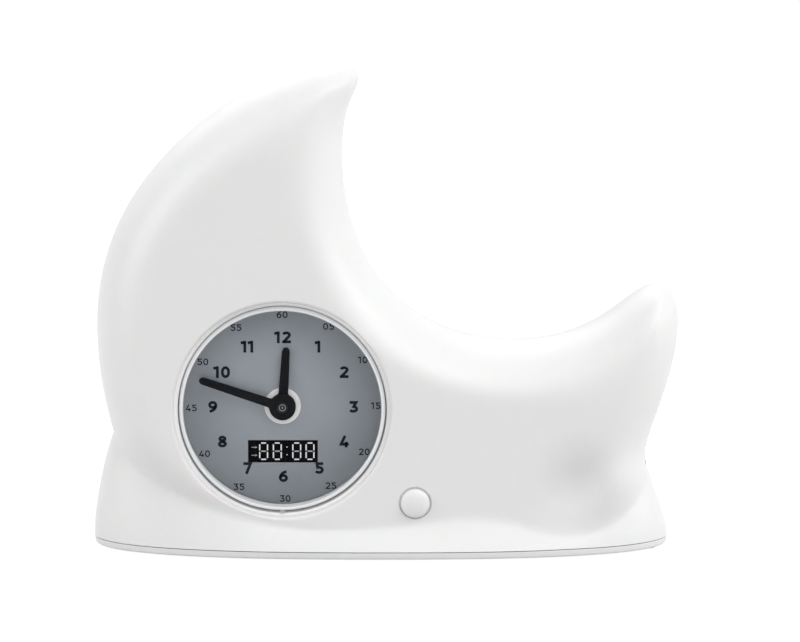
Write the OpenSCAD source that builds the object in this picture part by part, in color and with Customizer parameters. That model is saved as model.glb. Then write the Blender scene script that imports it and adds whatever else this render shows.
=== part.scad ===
// Crescent-moon bedside clock with a night light: two translucent half shells on a flat base,
// a round analogue dial with a small digital display, buttons, and the parts they hold.
// Units are millimetres. +X is to the right of the dial, -Y is the front, +Z is up.
// The origin is on the floor, under the middle of the base.

/* [Moon] */
// Height of the tall horn above the floor
tall_horn_z = 169.7; // [162:0.1:176]
// Height of the short horn above the floor
short_horn_z = 91.6; // [89:0.1:95]
// Height of the lowest point of the bite
bite_z = 71.9; // [69:0.1:75]
// Reach of the short horn to the right of the middle
short_horn_x = 102.4; // [100:0.1:106]
// Reach of the moon's back to the left of the middle
moon_back_x = 100.8; // [98:0.1:102]
// Thickness of the moon from face to face
moon_depth = 60; // [58:0.5:64]
// Radius that rounds the moon's edges into its faces
moon_edge = 17; // [14:0.5:20]
// Wall of the two shells
wall = 2.5; // [2:0.1:3]

/* [Plinth] */
// Reach of the plinth to the left of the middle, at its foot
plinth_left = 102.4; // [100:0.1:106]
// Reach of the plinth to the right of the middle, at its foot
plinth_right = 99.2; // [98:0.1:103]
// Thickness of the plinth from front to back, at its foot
plinth_depth = 74; // [72:0.5:80]
// Height of the base plate's rim, from its under side
base_t = 2.4; // [2:0.1:3]
// Height of the rubber feet below the base plate
foot_h = 0.8; // [0.6:0.1:1.5]
// Radius of a rubber foot
foot_r = 6; // [4:0.5:8]
// Shadow gap between the base plate and the shells
seam_gap = 0.3; // [0.1:0.1:0.5]

/* [Dial] */
// Dial centre to the left of the middle
dial_left = 35.5; // [34:0.1:37]
// Dial centre above the floor
dial_z = 51.7; // [51:0.1:53]
// Radius of the printed dial
dial_r = 34.5; // [33:0.1:35.5]
// Thickness of the printed dial
dial_t = 1; // [0.8:0.1:1.4]
// How far the dial lies behind the moon's face
dial_inset = 11; // [10:0.1:12]
// Height of the clear lens above the dial
lens_h = 7.2; // [6.4:0.1:8]
// Thickness of the clear lens
lens_t = 1.2; // [1:0.1:1.6]
// Width of the display window
window_w = 24.2; // [22:0.1:26]
// Height of the display window
window_h = 7.9; // [7:0.1:9]
// Distance of the display window below the dial centre
window_drop = 16.1; // [15:0.1:17]

/* [Hands] */
// Length of the hour hand from the dial centre
hour_len = 20.7; // [18:0.1:22]
// Width of the hour hand
hour_w = 3.1; // [2.6:0.1:3.6]
// Clockwise angle of the hour hand from twelve
hour_at = 3.6; // [0:0.1:360]
// Length of the minute hand from the dial centre
minute_len = 30.3; // [26:0.1:32]
// Width of the minute hand
minute_w = 2.9; // [2.4:0.1:3.4]
// Clockwise angle of the minute hand from twelve
minute_at = 288.5; // [0:0.1:360]
// Thickness of the hands
hand_t = 0.8; // [0.6:0.05:0.9]
// Radius of the round eye of each hand
eye_r = 4.6; // [4:0.1:5]

/* [Buttons] */
// Radius of the front button
button_r = 5; // [4.5:0.1:5.4]
// Front button to the right of the middle
button_x = 10.4; // [10:0.1:12]
// Front button above the floor
button_z = 19.4; // [19:0.1:21]
// Travel of the front button
button_travel = 1.2; // [0.8:0.1:1.4]
// Radius of the three setting buttons at the back
setting_r = 3.2; // [2.8:0.1:3.6]
// Spacing of the three setting buttons
setting_pitch = 12; // [11:0.5:14]
// Height of the row of setting buttons
setting_z = 98; // [96:0.5:100]
// Travel of a setting button
setting_travel = 0.8; // [0.5:0.1:0.9]
// Gap round each button in its hole
button_gap = 0.5; // [0.3:0.1:0.6]

/* [Inside] */
// Width and height of the clock movement
movement_w = 56; // [54:0.5:58]
// Thickness of the clock movement
movement_t = 16; // [12:0.5:16]
// Radius of the speaker
speaker_r = 14; // [12:0.5:15]
// Number of battery cells
cells = 3; // [2:1:3]
// Radius of a battery cell
cell_r = 5.2; // [5:0.1:5.4]
// Length of a battery cell
cell_len = 44.5; // [43:0.5:46]

/* [Hidden] */
$fn = 64;
fit = 0.05;
clear = 0.3;

// Levels
base_z = foot_h;
plate_top = base_z + base_t;
shell_z = plate_top + seam_gap;
face_y = -moon_depth / 2;

// ---------- Outline of the moon and its plinth, in X and Z ----------

function bez(a, b, c, d, t) = a * pow(1 - t, 3) + 3 * b * t * pow(1 - t, 2)
                            + 3 * c * t * t * (1 - t) + d * pow(t, 3);

// Driving points of the outline: horns, back, notches, foot corners and bite
horn_top = [-19, tall_horn_z];
horn_tip = [-9.4, tall_horn_z - 5.7];
back_pt = [-moon_back_x, 78.1];
notch_l = [-95.4, 39.7];
foot_l = [-plinth_left, shell_z];
foot_r_pt = [plinth_right, shell_z];
notch_r = [91.2, 32];
horn_r = [short_horn_x, short_horn_z - 12.6];
horn_r_top = [short_horn_x - 7.3, short_horn_z];
bite_low = [45, bite_z];
bite_left = [-14.9, tall_horn_z - 31.7];
belly_low = [-10, -6];

// Each stretch of outline is one curve: end, handle, handle, end
tip_l = [horn_top, horn_top + [5, 0], horn_tip + [0, 4], horn_tip];
tip_r = [horn_r_top, horn_r_top + [5, 0], horn_r + [0, 7], horn_r];
back_top = [horn_top, horn_top - [15.5, 0], back_pt + [0, (tall_horn_z - back_pt[1]) * 0.68], back_pt];
back_low = [back_pt, back_pt - [0, 18], notch_l + [-2.4, 10], notch_l];
plinth_l = [notch_l, notch_l - [2.6, 7], foot_l + [0, 12], foot_l];
plinth_r = [foot_r_pt, foot_r_pt + [0, 8], notch_r - [0, 8], notch_r];
side_r = [notch_r, notch_r + [0, 8], horn_r - [0, 19], horn_r];
belly_left = [notch_l, notch_l + [6, -18], belly_low - [50, 0], belly_low];
belly_right = [belly_low, belly_low + [66, 0], notch_r + [3, -28], notch_r];
bite_top = [horn_tip, horn_tip - [0, 5.3], bite_left + [0, 17.6], bite_left];
bite_mid = [bite_left, bite_left - [0, 42], bite_low - [35, 0], bite_low];
bite_end = [bite_low, bite_low + [32, 0], horn_r_top - [10.6, 0], horn_r_top];

function on(curve, t) = bez(curve[0], curve[1], curve[2], curve[3], t);

// The outer side runs from the tall tip round the back and the foot to the short tip
function outer_at(q) =
    q < 1 ? on(tip_l, 0.5 - 0.5 * q)
    : q < 2 ? on(back_top, q - 1)
    : q < 3 ? on(back_low, q - 2)
    : q < 4 ? on(plinth_l, q - 3)
    : q < 5 ? foot_l + (foot_r_pt - foot_l) * (1 - cos(180 * (q - 4))) / 2
    : q < 6 ? on(plinth_r, q - 5)
    : q < 7 ? on(side_r, q - 6)
    : on(tip_r, 1 - 0.5 * (q - 7));

// The inner side runs from the tall tip round the bite to the short tip
function bite_at(s) =
    s < 1 ? on(tip_l, 0.5 + 0.5 * s)
    : s < 2 ? on(bite_top, s - 1)
    : s < 3 ? on(bite_mid, s - 2)
    : s < 4 ? on(bite_end, s - 3)
    : on(tip_r, 0.5 * (s - 4));

// Columns of the surface: at each key, the outer side pairs with a place on the bite
key_cols = [0, 3, 19, 25, 30, 56, 60, 69, 72];
key_bite = [0, 1, 2.40, 2.52, 2.66, 3.22, 3.55, 4, 5];
cols = key_cols[len(key_cols) - 1];
function outer_q(i) = lookup(i, [for (k = [0 : 8]) [key_cols[k], k]]);
function bite_s(i) = lookup(i, [for (k = [0 : 8]) [key_cols[k], key_bite[k]]]);

// Step along a side by which its direction is measured
nudge = 0.02;
function unit(v) = v / norm(v);
function turned(v) = [-v[1], v[0]];
function outer_in(q) = let (a = max(q - nudge, 0), b = min(q + nudge, 8))
    turned(unit(outer_at(b) - outer_at(a)));
function bite_in(s) = let (a = max(s - nudge, 0), b = min(s + nudge, 5))
    -turned(unit(bite_at(b) - bite_at(a)));

// Outline of the moon alone, whose belly goes on inside the plinth
function samples(curve, n, from = 0, to = 1) =
    [for (i = [0 : n - 1]) on(curve, from + (to - from) * i / n)];
moon_outer = concat(samples(tip_l, 3, 0.5, 0), samples(back_top, 14), samples(back_low, 6),
                    samples(belly_left, 9), samples(belly_right, 12), samples(side_r, 6),
                    samples(tip_r, 3, 1, 0.5), [on(tip_r, 0.5)]);
moon_bite = concat(samples(tip_l, 3, 0.5, 1), samples(bite_top, 4), samples(bite_mid, 14),
                   samples(bite_end, 9), samples(tip_r, 3), [on(tip_r, 0.5)]);

function sq(v) = v * v;
function cross2(a, b) = a[0] * b[1] - a[1] * b[0];
function seg_d2(p, a, b) = let (ab = b - a, h = max(0, min(1, ((p - a) * ab) / (ab * ab))),
    e = p - a - ab * h) e * e;
function far2(p, path) = [for (i = [0 : len(path) - 2]) seg_d2(p, path[i], path[i + 1])];
// Distance from the bite, and from the moon's outer line with its sign, positive inside
function bite_gap(p) = sqrt(min(far2(p, moon_bite)));
function outer_gap(p) = let (d = far2(p, moon_outer), m = min(d), i = search(m, d)[0],
    a = moon_outer[i], b = moon_outer[i + 1])
    sign(cross2(b - a, p - a)) * sqrt(m);

// ---------- Half depth of the body over any point of its outline ----------

// The moon: an edge rounded to the face, from the joint distance to both sides
function moon_y(p, t) = let (o = outer_gap(p) - t, b = bite_gap(p) - t)
    (o <= 0 || b <= 0) ? 0
    : let (s = 1 / sqrt(1 / sq(o) + 1 / sq(b)), h = 1 - min(1, s / (moon_edge - t)))
    (moon_depth / 2 - t) * sqrt(1 - h * h);

// The plinth: each level is a rounded oblong, which leans back to the line where it meets the moon.
oblong = 2.5;
crease_mid = [-20, 9.2];
side_left = concat([for (i = [0 : 8]) let (p = on(plinth_l, 1 - i / 8)) [p[1], p[0]]],
                   [[60, -86], [80, -70]]);
side_right = concat([for (i = [0 : 8]) let (p = on(plinth_r, i / 8)) [p[1], p[0]]],
                    [for (i = [1 : 8]) let (p = on(side_r, i / 8)) [p[1], p[0]]]);
function ramp(a, b, v) = let (h = max(0, min(1, (v - a) / (b - a)))) h * h * (3 - 2 * h);
crease_rise = [0.0070, 0.0024];
crease_drop = 4;
function crease_z(x) = crease_mid[1] + sq(x - crease_mid[0]) * crease_rise[x < crease_mid[0] ? 0 : 1];
function crease_y(x) = moon_depth / 2 + 0.5 - crease_drop * ramp(20, 70, x);
// Its right shoulder, g, leans back more slowly above that line and ends lower
function plinth_y(p, t) = let (z = max(p[1], shell_z), a = lookup(z, side_left) + t,
    b = lookup(z, side_right) - t, across = (2 * p[0] - a - b) / (b - a), g = ramp(0.2, 0.7, across),
    rise = (z - shell_z) / (crease_z(p[0]) - shell_z),
    lean = (plinth_depth / 2 - crease_y(p[0])) * (rise - max(0, rise - 1) * g / 2))
    abs(across) >= 1 ? 0
    : pow(1 - pow(abs(across), oblong), 1 / oblong) * max(0, plinth_depth / 2 - t - lean)
      * (1 - ramp(50 - 24 * g, 76 - 16 * g, z));

// A fillet fills the valley between the two. It is crisp on the left and grows to the right
fillet = [1.2, 30];
function fill(p, m, q) = (m <= 0 || q <= 0) ? 0
    : let (k = 1 / (1 / (fillet[0] + fillet[1] * ramp(42, 88, p[0])) + 0.5 / m + 0.5 / q),
           h = max(0, k - abs(m - q)) / k) h * h * k / 4;
// An oval hollow ends the valley on the right
hollow_at = [67.5, 23];
hollow_turn = 66;
hollow_size = [14, 9];
hollow_depth = 3;
function hollow(p) = let (d = p - hollow_at, c = cos(hollow_turn), s = sin(hollow_turn),
    a = (d[0] * c + d[1] * s) / hollow_size[0], b = (d[1] * c - d[0] * s) / hollow_size[1])
    hollow_depth * exp(-a * a - b * b);
// Half depth of the whole body; t is the depth below the outer surface
function half_depth(p, t = 0) = let (m = moon_y(p, t), q = plinth_y(p, t))
    max(m, q) <= 0 ? 0 : max(0, max(m, q) + fill(p, m, q) - hollow(p));

// ---------- Shell as one closed surface ----------

function step_in(v, n) = (1 - cos(180 * v / n)) / 2;
function outer_edge(i, t) = let (q = outer_q(i), p = outer_at(q))
    (q > 4 && q < 5) ? [p[0] * (plinth_left - t) / plinth_left, p[1]]
    : q == 4 ? p + [t, 0]
    : q == 5 ? p - [t, 0]
    : let (r = p + outer_in(q) * t) [r[0], max(shell_z, r[1])];
function bite_edge(i, t) = let (s = bite_s(i)) bite_at(s) + bite_in(s) * t;
function is_foot(i) = let (q = outer_q(i)) q > 4 && q < 5;

// Points of one skin; side is -1 for the front and 1 for the back
function skin_point(i, j, n, t, side) =
    let (p = outer_edge(i, t) + (bite_edge(i, t) - outer_edge(i, t)) * step_in(j, n),
         rim = j == n || (j == 0 && !is_foot(i)))
    [p[0], rim ? 0 : side * half_depth(p, t), p[1]];
function skin(n, t, side) = concat(
    [skin_point(0, n, n, t, side)],
    [for (i = [1 : cols - 1]) for (j = [0 : n]) skin_point(i, j, n, t, side)],
    [skin_point(cols, n, n, t, side)]);
function at(i, j, n) = i == 0 ? 0 : i == cols ? 1 + (cols - 1) * (n + 1) : 1 + (i - 1) * (n + 1) + j;
function skin_faces(n, first) = concat(
    [for (j = [0 : n - 1]) [first, first + at(1, j, n), first + at(1, j + 1, n)]],
    [for (i = [1 : cols - 2]) for (j = [0 : n - 1]) each [
        [first + at(i, j, n), first + at(i + 1, j, n), first + at(i + 1, j + 1, n)],
        [first + at(i, j, n), first + at(i + 1, j + 1, n), first + at(i, j + 1, n)]]],
    [for (j = [0 : n - 1]) [first + at(cols - 1, j, n), first + at(cols, 0, n),
                            first + at(cols - 1, j + 1, n)]]);
// Land between the two skins, along row j of the outer one and row k of the inner one
function land(j, no, k, ni, first) = [for (i = [0 : cols - 1]) each
    let (a = at(i, j, no), b = at(i + 1, j, no), c = first + at(i, k, ni), d = first + at(i + 1, k, ni))
    [[a, b, d], [a, d, c]]];
function flipped(f) = [for (g = f) [g[0], g[2], g[1]]];

rows_out = 18;
rows_in = 10;
module half_shell(side) {
    outer = skin(rows_out, 0, side);
    inner = skin(rows_in, wall, side);
    first = len(outer);
    faces = concat(skin_faces(rows_out, 0), flipped(skin_faces(rows_in, first)),
                   flipped(land(0, rows_out, 0, rows_in, first)),
                   land(rows_out, rows_out, rows_in, rows_in, first));
    polyhedron(concat(outer, inner), side < 0 ? flipped(faces) : faces);
}

// ---------- Frames and small shared shapes ----------

dial_x = -dial_left;
dial_y = face_y + dial_inset;
module to_dial() { translate([dial_x, 0, dial_z]) children(); }
// A round bar along Y from y0 to y1
module bar(r, y0, y1) { translate([0, y1, 0]) rotate([90, 0, 0]) cylinder(r = r, h = y1 - y0); }
module tube(r, bore, y0, y1) {
    difference() {
        bar(r, y0, y1);
        bar(bore, y0 - 1, y1 + 1);
    }
}
module at_xz(p) { translate([p[0], 0, p[1]]) children(); }
// A flat plate in X and Z, from y0 to y1
module plate(y0, y1) { translate([0, y1, 0]) rotate([90, 0, 0]) linear_extrude(y1 - y0) children(); }
module box(x, y, z) {
    translate([x[0], y[0], z[0]]) cube([x[1] - x[0], y[1] - y[0], z[1] - z[0]]);
}
module rounded(w, h, r) {
    hull() for (x = [-1, 1], z = [-1, 1]) translate([x * (w / 2 - r), z * (h / 2 - r)]) circle(r, $fn = 32);
}
function inner_y(p) = half_depth(p, wall);
// Middle of the body, part of the way from the outer side to the bite
function middle(q, s, part) = outer_at(q) + (bite_at(s) - outer_at(q)) * part;

// ---------- Dial stack, from front to back ----------

hand_gap = 0.4;
ring_t = 1;
ring_r = 6.3;
bore_r = dial_r + 2.9;
lip_chamfer = 1.2;
collar_t = 2;
housing_r = bore_r - 1;
housing_depth = 11;
floor_t = 2;
collar_end = -12;
flange_t = 2;
flange_r = bore_r + 3.6;
ear_r = bore_r + 5.1;
ear_size = 4;
rim_front = face_y + 5;
lens_r = dial_r + 1.4;
lens_wall = 1;
gate_w = 1.6;
gate_out = 0.9;
// The printed dial lies in a seat, on a step of the cup
seat_out = 0.2;
seat_in = 1.8;
housing_back = dial_y + housing_depth;
floor_front = housing_back - floor_t;
ring_y = dial_y - ring_t;
hour_y = ring_y - hand_gap - hand_t;
minute_y = hour_y - hand_gap * 2 - hand_t;
arbor_r = 1.25;
tube_r = 2.4;
bush_r = 4;
tube_bore = arbor_r + fit;
bush_bore = tube_r + fit;
tube_back = housing_back + 3;
arbor_back = tube_back + 1;
nut_t = 2.2;
nut_r = 6.6;
module_w = 30.2;
module_h = 10.1;
board_t = 1.6;
// Depth kept free behind the movement for the light frame, the speaker and the setting buttons
rear_room = 22;
movement_back = min(housing_back + movement_t, moon_depth / 2 - rear_room);
ears = [90, 210, 330];
screw_r = 1.2;
pilot_r = screw_r + fit;
hole_r = 1.6;
head_r = 2.6;
head_t = 1.6;
boss_r = 3.2;
small_pilot_r = 0.95;
small_hole_r = 1.3;
small_post_r = 2.4;

// ---------- Screw posts that join the two shells ----------

shell_screw_in = 9;
posts = [middle(1.42, 1.75, 0.45), middle(2.45, 2.46, 0.115), [15, 60], [72, 56]];
post_r = 3.6;
rear_head_y = moon_depth / 2 - 10;
// Far end of the cuts that go out through a face
past = plinth_depth / 2 + 10;
function around(p, r) = [for (a = [0 : 30 : 330]) inner_y(p + r * [cos(a), sin(a)])];
// A post stands on the inside of a face and is buried in its wall
module post(p, r, side, to) {
    reach = min(around(p, r)) + wall * 0.6;
    at_xz(p) if (side < 0) bar(r, -reach, to); else bar(r, to, reach);
}

// Upright bosses for the base screws, which stand in the wall of the plinth
base_post_top = 15;
base_post_r = 3.8;
base_post_x = [20.4 - plinth_left, plinth_right - 17.2];
function base_post_y(x) = min([for (a = [0 : 30 : 180])
    half_depth([x + base_post_r * cos(a), base_post_top]) - base_post_r * sin(a)]) - wall * 0.4;
base_posts = [for (x = base_post_x) [x, base_post_y(x)]];
module base_post(p, side) {
    translate([p[0], side * p[1], shell_z]) cylinder(r = base_post_r, h = base_post_top - shell_z);
}
module base_pilot(p, side) {
    translate([p[0], side * p[1], shell_z - 1]) cylinder(r = pilot_r, h = base_post_top - shell_z - 1);
}

// ---------- Front button ----------

button_at = [button_x, button_z];
guide_t = 2;
guide_end = -24.6;
stem_r = 1.7;
switch_y = -20.6;
switch_t = 3.6;
switch_w = 6;
switch_board_y = switch_y + switch_t;
switch_posts = [[-9.5, 0], [0, 10.5]];
board_arm = 7;

module front_shell() {
    color([0.93, 0.93, 0.92]) difference() {
        union() {
            half_shell(-1);
            to_dial() bar(bore_r + collar_t, face_y + 1.6, collar_end);
            for (a = ears) post([dial_x, dial_z] + ear_r * [cos(a), sin(a)], boss_r, -1, collar_end);
            for (p = posts) post(p, post_r, -1, 0);
            for (p = base_posts) base_post(p, -1);
            at_xz(button_at) bar(button_r + button_gap + guide_t, face_y + 1.8, guide_end);
            for (p = switch_posts) post(button_at + p, small_post_r, -1, switch_board_y);
        }
        to_dial() bar(bore_r, -past, collar_end + 1);
        to_dial() translate([0, face_y + lip_chamfer, 0]) rotate([90, 0, 0])
            cylinder(r1 = bore_r, r2 = bore_r + 10, h = 10);
        for (a = ears) at_xz([dial_x, dial_z] + ear_r * [cos(a), sin(a)])
            bar(pilot_r, collar_end - 8, collar_end + 1);
        for (p = posts) at_xz(p) bar(pilot_r, -shell_screw_in - 3, 1);
        for (p = base_posts) base_pilot(p, -1);
        at_xz(button_at) bar(button_r + button_gap, -past, guide_end + 1);
        for (p = switch_posts) at_xz(button_at + p)
            bar(small_pilot_r, switch_board_y - 5, switch_board_y + 1);
    }
}

// ---------- Back: setting buttons, speaker, hand-setting knob and socket ----------

setting_x = -52;
setting_at = [for (k = [-1 : 1]) [setting_x + k * setting_pitch, setting_z]];
setting_flange = 1.2;
setting_stem_r = 1.2;
setting_in = 3.2;
setting_board_y = moon_depth / 2 - 11;
setting_post_x = setting_pitch * 1.5 + 3;
setting_posts = [for (x = [-1, 1]) [setting_x + x * setting_post_x, setting_z]];
speaker_at = [38, 44];
speaker_face = min(around(speaker_at, speaker_r)) - 0.9;
speaker_y = speaker_face - 3.2;
basket_y = speaker_y - 3;
knob_at = [dial_x + 14, dial_z - 14];
knob_stem_r = 2.5;
usb_x = -20;
usb_w = 9;
usb_h = 3.3;
usb_len = 8;
main_board_z = 12;
main_board_t = 1.6;
usb_z = main_board_z + main_board_t + usb_h / 2;
frame_t = 2;
frame_y = movement_back + 4;
magnet_y = max(speaker_y - 7, frame_y + frame_t + clear);
frame_posts = [middle(1.75, 2.1, 0.5), [-22, 98], [52, 56]];
grille_r = 1.2;
grille = [[0, 1], [4, 6], [8, 12]];

module rear_shell() {
    color([0.93, 0.93, 0.92]) difference() {
        union() {
            half_shell(1);
            for (p = posts) post(p, post_r, 1, 0);
            for (p = base_posts) base_post(p, 1);
            for (p = frame_posts) post(p, boss_r, 1, frame_y + frame_t);
            for (p = setting_posts) post(p, small_post_r, 1, setting_board_y + board_t);
            at_xz(speaker_at)
                tube(speaker_r + clear + 1.6, speaker_r + clear, basket_y, speaker_face + 1.4);
        }
        for (p = posts) at_xz(p) {
            bar(hole_r, -1, past);
            bar(head_r + clear, rear_head_y - head_t, past);
        }
        for (p = base_posts) base_pilot(p, 1);
        for (p = frame_posts) at_xz(p) bar(pilot_r, frame_y - 1, frame_y + frame_t + 6);
        for (p = setting_posts) at_xz(p) bar(small_pilot_r, setting_board_y, setting_board_y + board_t + 5);
        for (p = setting_at) at_xz(p) bar(setting_r + button_gap, rear_head_y, past);
        at_xz(knob_at) bar(knob_stem_r + fit, rear_head_y, past);
        at_xz(speaker_at) for (g = grille, k = [1 : g[1]])
            rotate([0, 360 * k / g[1], 0]) translate([g[0], 0, 0]) bar(grille_r, rear_head_y, past);
        at_xz([usb_x, usb_z]) plate(rear_head_y, past) rounded(usb_w + 0.6, usb_h + 0.6, 1.8);
    }
}

// ---------- Base ----------

base_mid = (plinth_right - plinth_left) / 2;
base_len = (plinth_right + plinth_left) / 2;
// Rounded oblong of the plinth's foot, drawn in by a margin
module foot_shape(margin) {
    polygon([for (k = [0 : 95]) let (a = k * 360 / 96, c = cos(a), s = sin(a))
        [base_mid + (base_len - margin) * sign(c) * pow(abs(c), 2 / oblong),
         (plinth_depth / 2 - margin) * sign(s) * pow(abs(s), 2 / oblong)]]);
}
lip_margin = 6.4;
feet_at = [for (side = [-1, 1]) each [[base_mid - base_len * 0.64, side * plinth_depth * 0.27],
                                      [base_mid + base_len * 0.9, side * plinth_depth * 0.108]]];
foot_sunk = 0.8;
cell_pitch = cell_r * 2 + 0.6;
bay_x = plinth_right - 78.2;
bay_len = cell_len + 8.5;
bay_w = cells * cell_pitch + 2.6;
bay_mid = [bay_x + bay_len / 2, 0];
bay_wall = 1.4;
bay_top = plate_top + 2 * cell_r + 3;
door_t = base_t - 0.6;
door_up = 0.2;
door_screw_x = bay_x + bay_len - 2.6;
lip_h = 2.2;
lip_t = 1.6;
rim_h = 0.6;
rim_in = [0.9, 0.3];
standoff_r = 2.6;
main_x = [36.4 - plinth_left, bay_x - 11];
main_y = [-1, 23];
standoff_in = 4;
standoffs = [for (x = main_x + standoff_in * [1, -1], y = main_y + standoff_in * [1, -1]) [x, y]];

// A block round the battery bay, wider than it by a margin
module bay_block(margin, z) {
    translate([bay_mid[0], bay_mid[1], z[0]]) linear_extrude(z[1] - z[0])
        square([bay_len + 2 * margin, bay_w + 2 * margin], center = true);
}
module base_plate() {
    color([0.9, 0.9, 0.88]) difference() {
        union() {
            translate([0, 0, base_z]) linear_extrude(rim_h) foot_shape(rim_in[0]);
            translate([0, 0, base_z + rim_h]) linear_extrude(base_t - rim_h) foot_shape(rim_in[1]);
            translate([0, 0, plate_top]) linear_extrude(lip_h) difference() {
                foot_shape(lip_margin);
                foot_shape(lip_margin + lip_t);
                for (p = base_posts, side = [-1, 1]) translate([p[0], side * p[1]])
                    circle(base_post_r + 0.5);
            }
            for (p = standoffs) translate([p[0], p[1], plate_top - 0.5])
                cylinder(r = standoff_r, h = main_board_z - plate_top + 0.5);
        }
        for (p = feet_at) translate([p[0], p[1], 0]) cylinder(r = foot_r + 0.1, h = base_z + foot_sunk);
        for (p = base_posts, side = [-1, 1]) translate([p[0], side * p[1], 0]) {
            cylinder(r = hole_r, h = 8);
            translate([0, 0, base_z]) cylinder(r1 = head_r + 0.2, r2 = hole_r, h = 1.5);
        }
        for (p = standoffs) translate([p[0], p[1], main_board_z - 6]) cylinder(r = small_pilot_r, h = 8);
        bay_block(0, [0, plate_top + 4]);
        bay_block(bay_wall + 0.2, [plate_top, plate_top + 8]);
    }
}
module rubber_feet() {
    color([0.35, 0.35, 0.36]) for (p = feet_at) translate([p[0], p[1], 0])
        cylinder(r = foot_r, h = base_z + foot_sunk);
}
module base_screws() {
    color([0.7, 0.71, 0.72]) for (p = base_posts, side = [-1, 1])
        translate([p[0], side * p[1], base_z + 0.1]) {
            cylinder(r1 = head_r, r2 = screw_r, h = 1.4);
            translate([0, 0, 1]) cylinder(r = screw_r, h = 9);
        }
}
module shell_screws() {
    color([0.7, 0.71, 0.72]) for (p = posts) at_xz(p) {
        bar(head_r, rear_head_y - head_t, rear_head_y);
        bar(screw_r, -shell_screw_in, rear_head_y - head_t);
    }
}

// ---------- Dial parts ----------

module dial_lens() {
    color([0.9, 0.95, 0.97, 0.3]) to_dial() {
        tube(lens_r, lens_r - lens_wall, dial_y - lens_h + lens_t, dial_y);
        bar(lens_r, dial_y - lens_h, dial_y - lens_h + lens_t);
        box([-gate_w / 2, gate_w / 2], [dial_y - lens_h, dial_y], [-lens_r - gate_out, clear - lens_r]);
    }
}
module dial_housing() {
    color([0.95, 0.95, 0.95]) to_dial() difference() {
        union() {
            bar(housing_r, dial_y, housing_back);
            bar(flange_r, collar_end, collar_end + flange_t);
            tube(bore_r - clear, lens_r + 0.1, rim_front, collar_end + 1);
            for (a = ears) at_xz(ear_r * [cos(a), sin(a)]) bar(ear_size, collar_end, collar_end + flange_t);
        }
        box([-gate_w / 2 - 0.1, gate_w / 2 + 0.1], [rim_front - 1, dial_y], [-bore_r, 1 - lens_r]);
        bar(dial_r + seat_out, dial_y - 1, dial_y + dial_t);
        bar(dial_r - seat_in, dial_y - 1, floor_front);
        bar(bush_r + 0.1, floor_front - 1, housing_back + 1);
        for (a = ears) at_xz(ear_r * [cos(a), sin(a)])
            bar(hole_r, collar_end - 1, collar_end + flange_t + 1);
    }
}
module dial_plate() {
    color([0.55, 0.57, 0.58]) to_dial() difference() {
        bar(dial_r, dial_y, dial_y + dial_t);
        bar(bush_r + 0.3, dial_y - 1, dial_y + dial_t + 1);
        at_xz([0, -window_drop]) plate(dial_y - 1, dial_y + dial_t + 1)
            square([window_w, window_h], center = true);
    }
}
module centre_ring() {
    color([0.97, 0.97, 0.97]) to_dial() tube(ring_r, tube_r + 0.6, ring_y, dial_y);
}
module dial_screws() {
    color([0.7, 0.71, 0.72]) to_dial() for (a = ears) at_xz(ear_r * [cos(a), sin(a)]) {
        bar(head_r, collar_end + flange_t, collar_end + flange_t + head_t);
        bar(screw_r, collar_end - 6, collar_end + flange_t);
    }
}

// ---------- Hands and the shafts that carry them ----------

// A flat hand with a round eye and a rounded end, pointing at an angle clockwise from twelve
module hand(len, w, angle, y, hole) {
    color([0.07, 0.07, 0.08]) to_dial() rotate([0, angle, 0]) difference() {
        union() {
            bar(eye_r, y, y + hand_t);
            translate([-w / 2, y, 0]) cube([w, hand_t, len - w / 2]);
            translate([0, 0, len - w / 2]) bar(w / 2, y, y + hand_t);
        }
        bar(hole, y - 1, y + hand_t + 1);
    }
}
module hour_hand() { hand(hour_len, hour_w, hour_at, hour_y, tube_r); }
module minute_hand() { hand(minute_len, minute_w, minute_at, minute_y, arbor_r); }
module hour_tube() {
    color([0.78, 0.7, 0.45]) to_dial() tube(tube_r, tube_bore, hour_y, tube_back);
}
module minute_arbor() {
    color([0.8, 0.8, 0.8]) to_dial() bar(arbor_r, minute_y - 0.2, arbor_back);
}
module hand_cap() {
    color([0.07, 0.07, 0.08]) to_dial() difference() {
        bar(arbor_r + 0.7, minute_y - 0.7, minute_y);
        bar(arbor_r, minute_y - 0.2, minute_y + 1);
    }
}

// ---------- Movement and display ----------

module movement_case() {
    color([0.12, 0.12, 0.13]) to_dial() difference() {
        plate(housing_back, movement_back) rounded(movement_w, movement_w, 5);
        bar(bush_bore, housing_back - 1, tube_back + 0.5);
        bar(arbor_r + 0.4, housing_back, arbor_back + 0.5);
    }
}
module movement_bush() {
    color([0.78, 0.7, 0.45]) to_dial() tube(bush_r, bush_bore, dial_y + 0.4, housing_back);
}
module bush_nut() {
    color([0.78, 0.7, 0.45]) to_dial() difference() {
        translate([0, floor_front, 0]) rotate([90, 0, 0]) cylinder(r = nut_r, h = nut_t, $fn = 6);
        bar(bush_r, floor_front - nut_t - 1, floor_front + 1);
    }
}
module display_module() {
    color([0.03, 0.03, 0.03]) to_dial() at_xz([0, -window_drop]) {
        box([-module_w / 2, module_w / 2], [dial_y + dial_t + 0.1, floor_front - board_t],
            [-module_h / 2, module_h / 2]);
        box([-window_w / 2 + 0.1, window_w / 2 - 0.1], [dial_y + 0.3, dial_y + dial_t + 0.1],
            [-window_h / 2 + 0.1, window_h / 2 - 0.1]);
    }
}
module display_board() {
    color([0.1, 0.35, 0.2]) to_dial() tube(dial_r - 3, nut_r + 0.6, floor_front - board_t, floor_front);
}

// ---------- Front button parts ----------

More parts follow.
